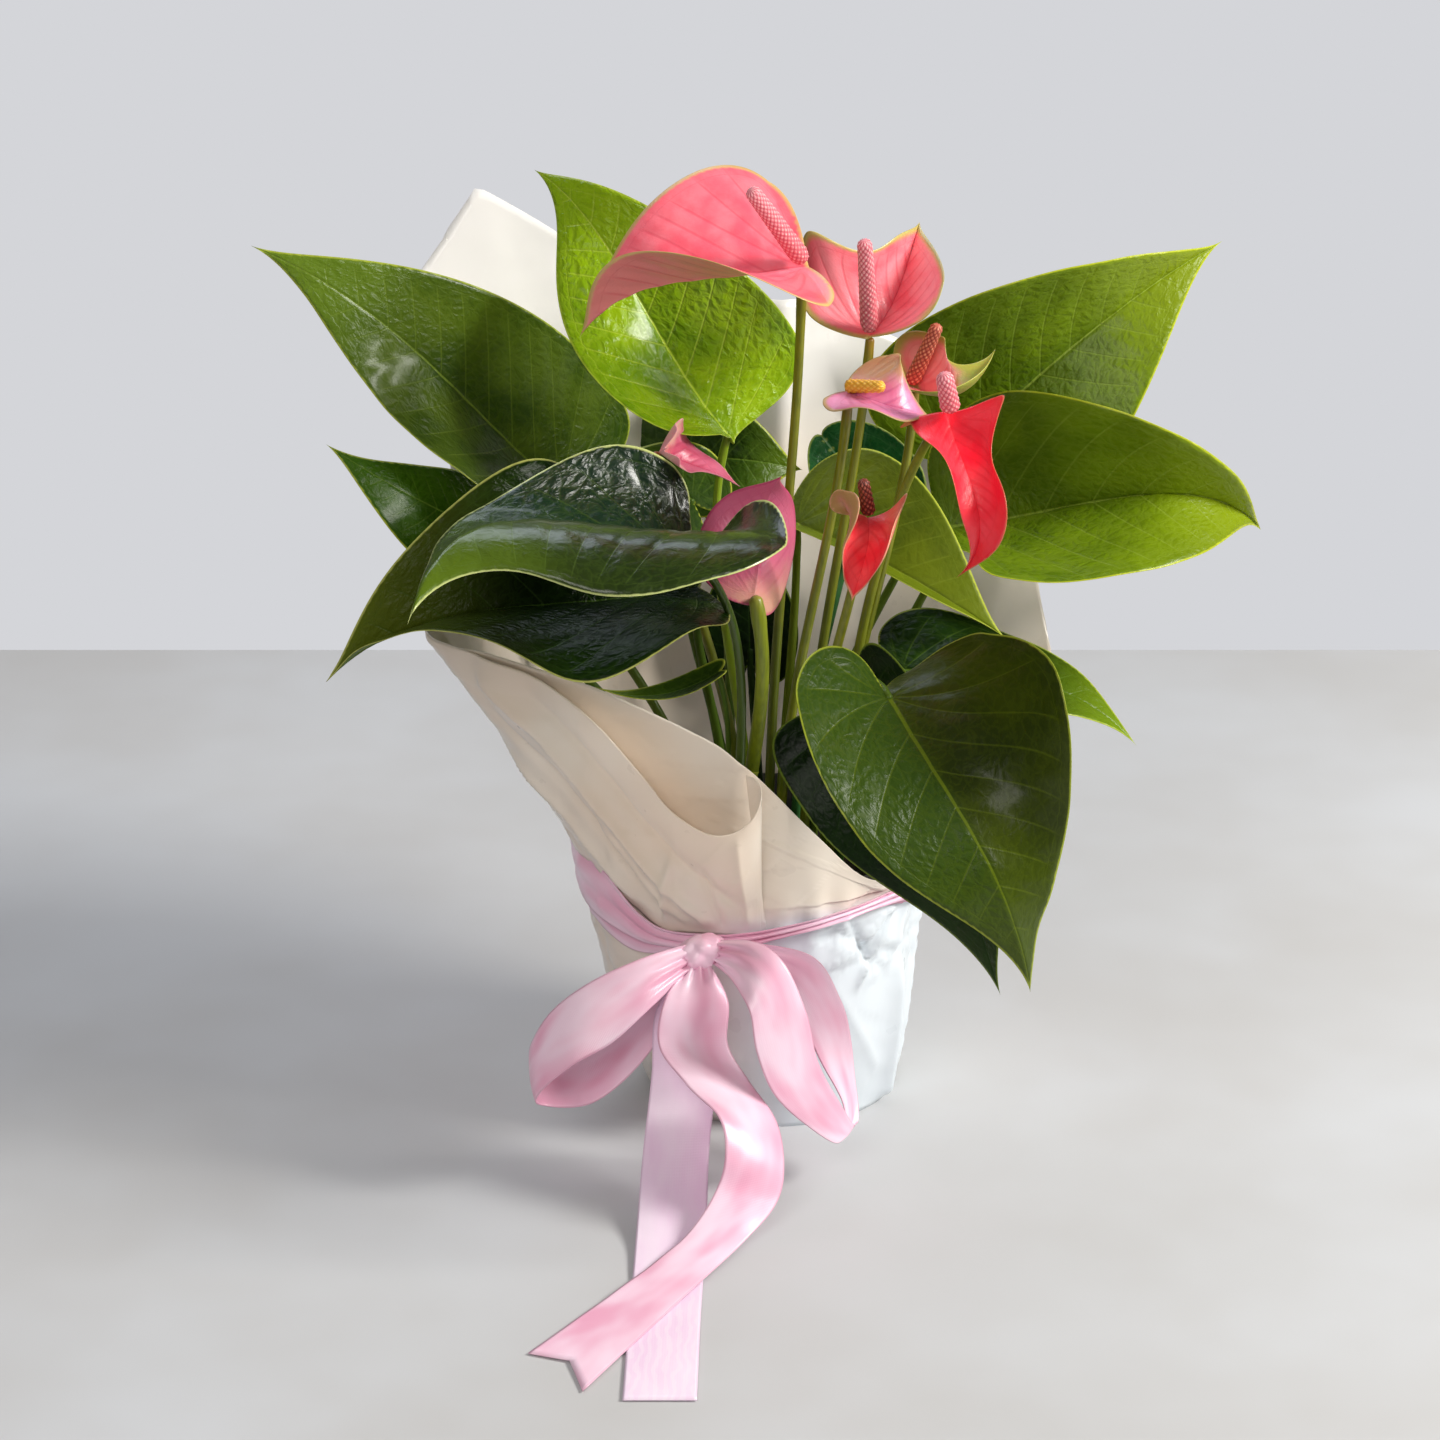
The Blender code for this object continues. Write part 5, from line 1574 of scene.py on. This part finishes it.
    def rim_at(self, azimuth: Array) -> tuple[Array, Array]:
        """Reach and height of the rim: a smooth closed curve through the stations, straight near the peak.

        Args:
            azimuth: azimuths in degrees, rising.

        Returns:
            Reaches and heights.
        """
        stations = np.array(self.rim, float)
        thrice = np.concatenate([stations - [360, 0, 0], stations, stations + [360, 0, 0]])
        curve = through(thrice, 6)
        sharp = np.exp(-((azimuth - self.peak) / 22) ** 4)
        soft = [np.interp(azimuth, curve[:, 0], curve[:, axis]) for axis in (1, 2)]
        straight = [np.interp(azimuth, thrice[:, 0], thrice[:, axis]) for axis in (1, 2)]
        return tuple(a + (b - a) * sharp for a, b in zip(soft, straight))

    def wall_reach(self, azimuth: Array, height: Array) -> Array:
        """Reach of the wall up to the waist: it swells from the base, then tapers out.

        Args:
            azimuth: azimuths in degrees.
            height: heights.

        Returns:
            Array of reaches.
        """
        base = self.side_reach(azimuth, self.base_reach)
        waist = self.side_reach(azimuth, self.waist_reach)
        share = np.clip(height / self.waist, 0, 1.2)
        taper = np.interp(share, *np.array(self.taper).T)
        return base + (waist - base) * taper + 2.0 * smooth(0.6, 1, share)

    def ridges(self, azimuth: Array, height: Array, lines: tuple) -> Array:
        """Rise of fold lines: for each a peak that falls off with the distance from the line.

        Args:
            azimuth: azimuths in degrees.
            height: heights.
            lines: the fold lines.

        Returns:
            Array of rises.
        """
        total = np.zeros(np.broadcast(azimuth, height).shape)
        for az0, z0, az1, z1, width, rise in lines:
            along = (height - z1) / (z0 - z1)
            line = az1 + (az0 - az1) * np.clip(along, 0, 1)
            distance = np.abs((azimuth - line + 180) % 360 - 180) * math.radians(1) * FOLD_REACH
            ends = smooth(-0.15, 0.1, along) * smooth(1.25, 0.85, along)
            total += rise * np.exp(-(distance / width) ** 1.3) * ends
        return total

    def relief(self, azimuth: Array, height: Array) -> Array:
        """Rise of the shell's folds, of the gathers at the tie, and of crumples at the front right.

        Args:
            azimuth: azimuths in degrees.
            height: heights.

        Returns:
            Array of rises.
        """
        turned = (azimuth - self.seam) % 360
        calm = smooth(0, 14, turned) * smooth(360, 346, turned)
        flat = np.radians(turned) * FLAT_REACH
        count, rise, reach = self.pleats
        pleats = np.sin(np.radians(azimuth) * count + 2.0 * np.sin(np.radians(azimuth) * 5))
        gathers = pleats * rise * bell(height, self.tie, reach)
        crumpled = smooth(180, 200, turned) * smooth(290, 270, turned)
        bumpy = crumpled * smooth(112, 94, height) * smooth(52, 74, height)
        crisp = (0.7 - 0.4 * crumpled + 2.0 * bumpy) * facets(flat, height, self.waves[0], 12)
        slow = 0.6 * ripple(flat, height, self.waves[1], 7)
        return self.ridges(azimuth, height, self.creases) + gathers + calm * (crisp + slow)

    def shell_reach(self, azimuth: Array, height: Array) -> Array:
        """Reach of the smooth shell at a height: the wall, then the flare out to the rim.

        Args:
            azimuth: row of azimuths.
            height: grid of heights.

        Returns:
            Grid of reaches.
        """
        rim_reach, rim_height = self.rim_at(azimuth)
        high = np.clip((height - self.waist) / (rim_height - self.waist), 0, 1)
        wall = self.wall_reach(azimuth + 0 * height, np.minimum(height, self.waist))
        return wall + (rim_reach - wall) * high ** self.flare_bend

    def paper_reach(self, azimuth: Array, height: Array) -> Array:
        """Reach of the shell with its relief, at azimuths in degrees and heights."""
        return self.shell_reach(azimuth, height) + self.relief(azimuth, height)

    def points(self, azimuth: Array, reach: Array, height: Array) -> Array:
        """Grid of points from azimuth in degrees, reach and height."""
        turn = np.radians(azimuth)
        return np.stack([reach * np.cos(turn), reach * np.sin(turn), height + 0 * reach], -1)

    def shell(self) -> Solid:
        """Cup of paper with a flat floor; rows run from it through the waist to the rim, then back inside."""
        azimuth = np.arange(self.columns)[None, :] * 360.0 / self.columns
        share = np.concatenate([np.linspace(0, 1, 50), np.linspace(1, 2, 56)[1:]])[:, None]
        rim_height = self.rim_at(azimuth)[1]
        height = np.clip(share, 0, 1) * self.waist + np.clip(share - 1, 0, 1) * (rim_height - self.waist)
        reach = self.shell_reach(azimuth, height) + self.relief(azimuth, height) * smooth(0.0, 0.06, share)
        outer = self.points(azimuth, reach, height)
        inner = outer - grid_normal(outer, True) * self.thick
        inner[..., 2] = np.maximum(inner[..., 2], self.thick)
        floor = np.linspace(0.15, 0.97, 6)[:, None, None]
        over = inner[0][None] * floor
        over[..., 2] = self.thick
        return ring_solid(np.concatenate([outer[0][None] * floor, outer, inner[::-1], over[::-1]]))

    def roll(self) -> Solid:
        """Outer layer of the roll: it lies on the shell at left, and in front rises straight to its open lip.

        Each column runs from its foot at the wall to its place on the lip, and is kept clear of the shell.
        """
        curve = through(np.array(self.lip, float), 12)
        foot_turn, lip_turn, lip_reach, lip_height = curve.T[:, None, :]
        share = np.linspace(0, 1, 64)[:, None]
        low = np.interp(foot_turn, *np.array(self.feet, float).T)
        foot = self.points(foot_turn, self.paper_reach(foot_turn, low) + self.clear, low)
        lip = self.points(lip_turn, lip_reach, lip_height)
        place = foot + (lip - foot) * share[..., None] ** 0.96
        azimuth = np.degrees(np.arctan2(place[..., 1], place[..., 0])) % 360
        height = place[..., 2]
        fade = smooth(0, 0.12, share) * smooth(1.02, 0.86, share)
        bent = self.ridges(azimuth, height, self.folds) + 0.4 * facets(azimuth, height, 30.0, 5)
        cone = np.linalg.norm(place[..., :2], axis=-1) + 3.0 * np.sin(math.pi * share ** 1.2) + bent * fade
        gap = self.paper_reach(azimuth, height) + self.clear
        rise = cone - gap
        reach = gap + 0.5 * (rise + np.sqrt(rise ** 2 + 1.0) - 1.0) * smooth(184, 196, azimuth)
        middle = self.points(azimuth, np.maximum(reach, gap), height)
        return sheet_solid(middle, self.thick, {})

    def build(self, look: Material) -> None:
        """Makes the shell and the roll, both sheets of the same paper.

        Args:
            look: the paper's material.
        """
        roll = make_piece("paper_roll", self.roll(), look, [])
        shell = make_piece("paper_wrap", self.shell(), look, ["wrap"])


# Satin ribbon


@dataclass
class Ribbon:
    """Satin ribbon: two turns round the wrap, the knot, two loops and two tails.

    Bands list azimuth in degrees, lower edge and upper edge. Each loop or tail is given by its two edges, in
    pairs of points that the strip runs through. The counts are points along the bands and the knot's size,
    rows across a band and a strip, and steps from pair to pair. pleat, camber and uneven are the heights of a
    strip's pleats at the knot, of its rounding and of its unevenness, and wave that one's wavelength.
    """

    wrap: Wrap
    width: float = 26.0
    thick: float = 0.45
    knot_centre: Triple = (-25.5, -75.0, 87.0)
    knot_radii: Triple = (8.2, 6.4, 6.8)
    knot_counts: tuple[int, int] = (52, 72)
    band_columns: tuple[int, int] = (301, 150)
    band_rows: int = 21
    strip_rows: int = 25
    strip_steps: int = 15
    pleat: float = 2.6
    camber: float = 0.9
    uneven: float = 0.7
    wave: float = 34.0
    band: tuple[Triple, ...] = (
        (0, 82, 98), (60, 76, 100), (120, 76, 101), (170, 82, 104), (188, 85, 106), (204, 84, 107),
        (216, 83, 104), (228, 81, 94), (238, 82, 90), (250, 83, 91), (264, 86, 93), (280, 91, 96),
        (310, 94, 100), (340, 88, 100),
    )
    low_band: tuple[Triple, ...] = (
        (70, 80, 96), (100, 79, 95), (140, 74, 92), (170, 74, 92), (190, 77, 93), (200, 78, 92),
        (210, 76.5, 90), (219, 74.5, 88), (226, 75, 86), (234, 77.5, 86), (243, 81, 87), (250, 83, 88),
    )
    left_loop: Rails = (
        ((-27, -74, 91), (-28, -78, 82)), ((-47, -86, 90), (-43, -96, 75)), ((-67, -91, 82), (-58, -105, 64)),
        ((-82, -92, 70), (-73, -108, 56)), ((-90, -90, 54), (-85, -106, 44)),
        ((-88, -82, 44), (-86, -98, 34)), ((-74, -78, 46), (-66, -92, 32)), ((-51, -76, 66), (-45, -86, 50)),
        ((-28, -74, 84), (-27, -76, 79)),
    )
    right_loop: Rails = (
        ((-21, -77, 84), (-21, -75, 92)), ((-13, -93, 83), (-5, -87, 97)), ((-7, -106, 77), (6, -95, 92)),
        ((-4, -109, 61), (14, -99, 74)), ((2, -108, 44), (19, -99, 53)), ((14, -104, 29), (27, -95, 34)),
        ((27, -98, 18), (34, -89, 21)), ((29, -90, 30), (34, -79, 33)), ((20, -85, 47), (32, -76, 51)),
        ((12, -82, 62), (28, -74, 67)), ((3, -79, 76), (17, -74, 85)), ((-14, -75, 82), (-9, -73, 91)),
    )
    curly_tail: Rails = (
        ((-29, -78, 84), (-23, -77, 86)), ((-39, -92, 75), (-15, -88, 73)), ((-41, -100, 60), (-15, -95, 58)),
        ((-31, -112, 50), (-7, -102, 46)), ((-19, -124, 43), (3, -111, 34)), ((-16, -134, 31), (6, -124, 22)),
        ((-20, -138, 18), (3, -134, 11)), ((-31, -152, 7), (-9, -150, 4)), ((-51, -178, 3), (-30, -186, 2)),
        ((-86, -226, 0.8), (-66, -252, 0.8)),
    )
    straight_tail: Rails = (
        ((-28, -74, 82), (-24, -74, 82)), ((-42, -82, 67), (-17, -82, 67)), ((-44, -90, 43), (-19, -90, 43)),
        ((-47, -106, 20), (-22, -106, 20)), ((-49, -138, 5), (-23, -138, 5)),
        ((-50, -170, 1.2), (-24, -170, 1.2)), ((-51, -205, 0.8), (-25, -205, 0.8)),
        ((-52, -258, 0.8), (-26, -258, 0.8)),
    )

    def strip(self, rails: Rails, notch: float, seed: int) -> Solid:
        """Strip between two smooth edges; where they come together at the knot it is gathered into pleats.

        Args:
            rails: pairs of points on the two edges.
            notch: depth of a swallow tail at the end.
            seed: seed of its unevenness.

        Returns:
            The solid, with the value "strip": distance along, across and from the edge.
        """
        pairs = np.array(rails, float)
        edges = through(pairs.reshape(len(pairs), 6), self.strip_steps).reshape(-1, 2, 3)
        line = edges.mean(1)
        across = edges[:, 1] - edges[:, 0]
        size = np.linalg.norm(across, axis=1)
        ahead = unit(np.gradient(line, axis=0))
        normal = unit(np.cross(ahead, unit(across)))
        v = np.linspace(-1, 1, self.strip_rows)
        distance = np.concatenate([[0], np.cumsum(np.linalg.norm(np.diff(line, axis=0), axis=1))])
        lost = np.clip(1 - size / self.width, 0, 0.8)
        returns = 1.0 if line[-1, 2] > 10 else 0.0
        near = np.maximum(np.exp(-distance / 16), returns * np.exp(-(distance[-1] - distance) / 12))
        pleat = (lost * near)[:, None] * self.pleat * np.sin(3.3 * math.pi * v + 0.6)[None, :]
        quiet = smooth(0.5, 5.0, line[:, 2])[:, None]
        camber = self.camber * (1 - v ** 2)[None, :]
        uneven = ripple(distance[:, None], v[None, :] * self.width / 2, self.wave, seed) * self.uneven
        up = pleat + (camber + uneven) * quiet
        share = distance / distance[-1]
        middle = line[:, None] + across[:, None] * (v / 2)[None, :, None] + normal[:, None] * up[..., None]
        cut = notch * (1 - np.abs(v))[None, :] * smooth(0.75, 1.0, share)[:, None]
        middle = middle - ahead[:, None] * cut[..., None]
        middle[..., 2] = np.maximum(middle[..., 2], self.thick / 2 + 0.1)
        side = self.width / 2
        along = np.broadcast_to(distance[:, None], up.shape)
        across = np.broadcast_to(side * v, up.shape)
        strip = np.stack([along, across, np.broadcast_to(side * (1 - np.abs(v)), up.shape)], -1)
        return sheet_solid(middle, self.thick, {"strip": strip})

    def turn_solid(self, stations: tuple[Triple, ...], closed: bool, off: float) -> Solid:
        """One turn round the wrap, clear of the paper, with long folds where it is bunched.

        Args:
            stations: azimuth in degrees, lower edge and upper edge.
            closed: whether it goes all the way round.
            off: distance from the paper.

        Returns:
            The solid.
        """
        edges = np.array(stations, float)
        start, end, columns = (0, 360, self.band_columns[0]) if closed else (
            edges[0, 0], edges[-1, 0], self.band_columns[1])
        azimuth = np.linspace(start, end, columns)[None, :]
        if closed:
            edges = np.concatenate([edges - [360, 0, 0], edges, edges + [360, 0, 0]])
        curve = through(edges, 6)
        low = np.interp(azimuth, curve[:, 0], curve[:, 1])
        high = np.interp(azimuth, curve[:, 0], curve[:, 2])
        v = np.linspace(0, 1, self.band_rows)[:, None]
        height = low + (high - low) * v
        wall = self.wrap.wall_reach(azimuth + 0 * height, np.minimum(height, self.wrap.waist))
        wall = wall + np.maximum(self.wrap.relief(azimuth, height), 0)
        calm = wall.copy()
        for _ in range(5 if closed else 0):
            calm = (np.roll(calm, 1, 1) + calm + np.roll(calm, -1, 1)) / 3
        bunched = np.clip(1.15 - (high - low) / self.width, 0, 1)
        flared = 1.6 * (1 - v) * smooth(150, 185, azimuth) * smooth(250, 215, azimuth) * closed
        pleats = np.abs(np.sin(math.pi * v * 2.5 + 0.4 * np.sin(np.radians(azimuth) * 3)))
        folds = flared + (2.2 if closed else 0.5) * bunched * pleats
        slack = 0.3 * np.sin(np.radians(azimuth) * 9 + v * 4)
        reach = np.maximum(wall, calm) + off + self.thick / 2 + folds + slack
        middle = self.wrap.points(azimuth, reach, height)
        side = self.width * (v - 0.5) + 0 * reach
        along = np.radians(azimuth) * FLAT_REACH + 0 * reach
        strip = np.stack([along, side, self.width / 2 - np.abs(side)], -1)
        return sheet_solid(middle, self.thick, {"strip": strip})

    def knot(self) -> Solid:
        """Knot: a rounded lump, pinched into folds that run slantwise over it."""
        rows, sides = self.knot_counts
        tilt = np.linspace(-1.5, 1.5, rows)[:, None]
        turn = round_turn(sides)[None, :]
        fold = 1 + 0.16 * np.abs(np.sin(turn * 2.5 + tilt * 2.2)) + 0.07 * np.sin(turn * 6 - tilt * 3)
        spread = np.cos(tilt) ** 0.8 * fold
        x = self.knot_radii[0] * spread * np.cos(turn)
        y = self.knot_radii[1] * spread * np.sin(turn)
        z = self.knot_radii[2] * np.sin(tilt) + 0.25 * x
        rings = np.stack([x, y, z], -1) + np.asarray(self.knot_centre)
        strip = np.stack([8 * tilt + 0 * turn, 6 * turn + 0 * tilt, 5.0 + 0 * turn + 0 * tilt], -1)
        return ring_solid(rings, {"strip": strip})

    def build(self) -> None:
        """Makes the turns, the knot, the loops and the tails."""
        satin = RibbonFinish("pink satin").material()
        # The straight tail's pale lilac is partly its own colour and partly painted light that lifts it out of
        # the bow's shadow.
        watered = RibbonFinish("watered satin", (246, 216, 242), (252, 232, 250), 0.3).material()
        band = make_piece("ribbon_band", self.turn_solid(self.band, True, 0.7), satin, ["ribbon"])
        low = make_piece("ribbon_band_low", self.turn_solid(self.low_band, False, 0.3), satin, [])
        make_piece("ribbon_knot", self.knot(), satin, [])
        strips = {
            "ribbon_loop_left": (self.left_loop, 0.0, 3, satin, 0.165),
            "ribbon_loop_right": (self.right_loop, 0.0, 4, satin, 0.185),
            "ribbon_tail_curly": (self.curly_tail, 9.0, 5, satin, 0.235),
            "ribbon_tail_straight": (self.straight_tail, 0.0, 6, watered, 0.245),
        }
        for name, (rails, notch, seed, look, length) in strips.items():
            piece = make_piece(name, self.strip(rails, notch, seed), look, [])


# Soil and pot


@dataclass
class Soil:
    """Peat in the pot: a domed, crumbly top over a tapered plug.

    crumbs lists height, wavelength and seed of the ripples that roughen the top.
    """

    low: float = 3.4
    base: float = 41.3
    edge: float = 53.1
    top: float = SOIL_TOP
    columns: int = 150
    crumbs: tuple[Triple, ...] = ((0.8, 9.0, 21), (0.6, 4.0, 22), (0.4, 2.2, 23))

    def solid(self) -> Solid:
        """Turned profile whose top is roughened by ripples of three sizes."""
        profile = [(self.base, self.low), (self.edge - 0.8, self.top - 3.0)]
        inner = [(self.edge * s, self.top - 2.5 * s ** 2) for s in np.linspace(0.98, 0.04, 46)]
        profile = np.array(profile + inner)
        turn = round_turn(self.columns)
        reach, height = profile[:, :1], profile[:, 1:]
        x, y = reach * np.cos(turn), reach * np.sin(turn)
        rough = sum(rise * ripple(x, y, wave, seed) for rise, wave, seed in self.crumbs)
        z = height + rough * (height > 40) * smooth(self.edge + 0.5, self.edge - 4, reach)
        return ring_solid(np.stack([x, y, z + 0 * x], -1))

    def build(self) -> None:
        """Makes the soil and dresses the pot, whose CAD node stays."""
        peat = EarthFinish("peat", (28, 22, 16), (60, 46, 36), 1.0, 0.9)
        make_piece("dressed_soil", self.solid(), peat.material(), ["soil"])
        plastic = EarthFinish("pot plastic", (48, 46, 44), (60, 58, 55), 0.0, 0.45).material()
        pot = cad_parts["grow_pot"]
        pot.data.materials.clear()
        pot.data.materials.append(plastic)
        LOG.info("grow_pot keeps its CAD shape")


# Studio


@dataclass
class Studio:
    """Pale floor and wall colour, soft lights and the camera at the photograph's angle."""

    eye: Triple = (-0.018, -1.5762, 0.7887)
    target: Triple = (-0.018, 0.0, 0.1519)
    lens: float = 108.98
    floor_back: float = 0.47
    wall: Colour = (212, 213, 217)
    low_sky: Colour = (116, 111, 104)
    high_sky: Colour = (150, 149, 148)
    mirrored: Colour = (66, 70, 74)
    floor_dark: Colour = (192, 191, 190)
    floor_light: Colour = (204, 206, 209)
    floor_half: float = 3.0
    sensor: float = 36.0

    def camera(self) -> None:
        """Camera at the photograph's place, with its lens."""
        data = bpy.data.cameras.new("camera")
        data.sensor_width = self.sensor
        data.lens = self.lens
        data.clip_start = 0.05
        made = add_object("camera", data)
        made.matrix_world = self.aim(self.eye, self.target)
        bpy.context.scene.camera = made

    def aim(self, place: Triple, target: Triple) -> Matrix:
        """Matrix of a camera or light that stands at a place and looks at a target, its top upwards.

        Args:
            place: where it stands.
            target: the point that it looks at.

        Returns:
            The matrix.
        """
        back = unit(np.subtract(place, target))
        right = unit(np.cross([0, 0, 1], back))
        rows = np.eye(4)
        rows[:3] = np.stack([right, np.cross(back, right), back, place], 1)
        return Matrix(rows.tolist())

    def light(
        self, name: str, place: Triple, target: Triple, size: Pair, power: float, colour: Colour
    ) -> None:
        """Rectangular soft light.

        Args:
            name: name of the light.
            place: where it stands.
            target: the point that it looks at.
            size: its width and height in metres.
            power: its power in watts.
            colour: its colour.
        """
        data = bpy.data.lights.new(name, "AREA")
        data.shape = "RECTANGLE"
        data.size, data.size_y = size
        data.energy = power
        data.color = linear(colour)
        add_object(name, data).matrix_world = self.aim(place, target)

    def floor(self) -> None:
        """Pale floor that ends where the photograph's wall begins."""
        mesh = bpy.data.meshes.new("floor")
        half, back = self.floor_half, self.floor_back
        corners = [(-half, -half, 0), (half, -half, 0), (half, back, 0), (-half, back, 0)]
        mesh.from_pydata(corners, [], [(0, 1, 2, 3)])
        made, graph, shader = new_material("pale floor")
        cloud = graph.step(graph.noise(graph.place(), 3.0, 4.0, 0.6), 0.3, 0.7)
        graph.fill(shader, Base_Color=graph.mix(cloud, self.floor_dark, self.floor_light), Roughness=0.55)
        mesh.materials.append(made)
        piece = add_object("floor", mesh)

    def world(self) -> None:
        """Surroundings: pale grey like the wall to the camera, a dimmer sky as light, and dark in mirrors."""
        world = bpy.data.worlds.new("studio")
        world.use_nodes = True
        graph = Graph(world.node_tree)
        back = world.node_tree.nodes["Background"]
        height = graph.node("SeparateXYZ", Vector=graph.node("TexCoord").outputs["Generated"]).outputs["Z"]
        sky = graph.mix(graph.step(height, -0.1, 0.9), self.low_sky, self.high_sky)
        path = graph.node("LightPath")
        sky = graph.mix(path.outputs["Is Glossy Ray"], sky, self.mirrored)
        graph.feed(back.inputs["Color"], graph.mix(path.outputs["Is Camera Ray"], sky, self.wall))
        bpy.context.scene.world = world

    def build(self) -> None:
        """Sets up the whole studio."""
        self.camera()
        self.floor()
        self.world()
        self.light("window", (1.5, -0.3, 1.2), (0, 0, 0.2), (0.6, 0.6), 40.0, (255, 252, 246))
        self.light("sky panel", (-0.35, 0.95, 1.35), (-0.05, 0, 0.2), (1.2, 0.6), 7.0, (230, 239, 255))
        self.light("front fill", (-0.5, -1.6, 1.3), (0, 0, 0.15), (1.0, 0.8), 11.5, (255, 250, 246))
        scene = bpy.context.scene
        scene.view_settings.view_transform = "Standard"


def main() -> None:
    """Builds the node groups, the plant, its wrapping and the studio, in that order."""
    logging.basicConfig(level=logging.INFO, format="%(name)s %(message)s")
    make_vein_group()
    make_crinkle_group()
    make_weave_group()
    Plant().build()
    wrap = Wrap()
    wrap.build(PaperFinish().material())
    Ribbon(wrap).build()
    Soil().build()
    Studio().build()


if __name__ == "__main__":
    main()
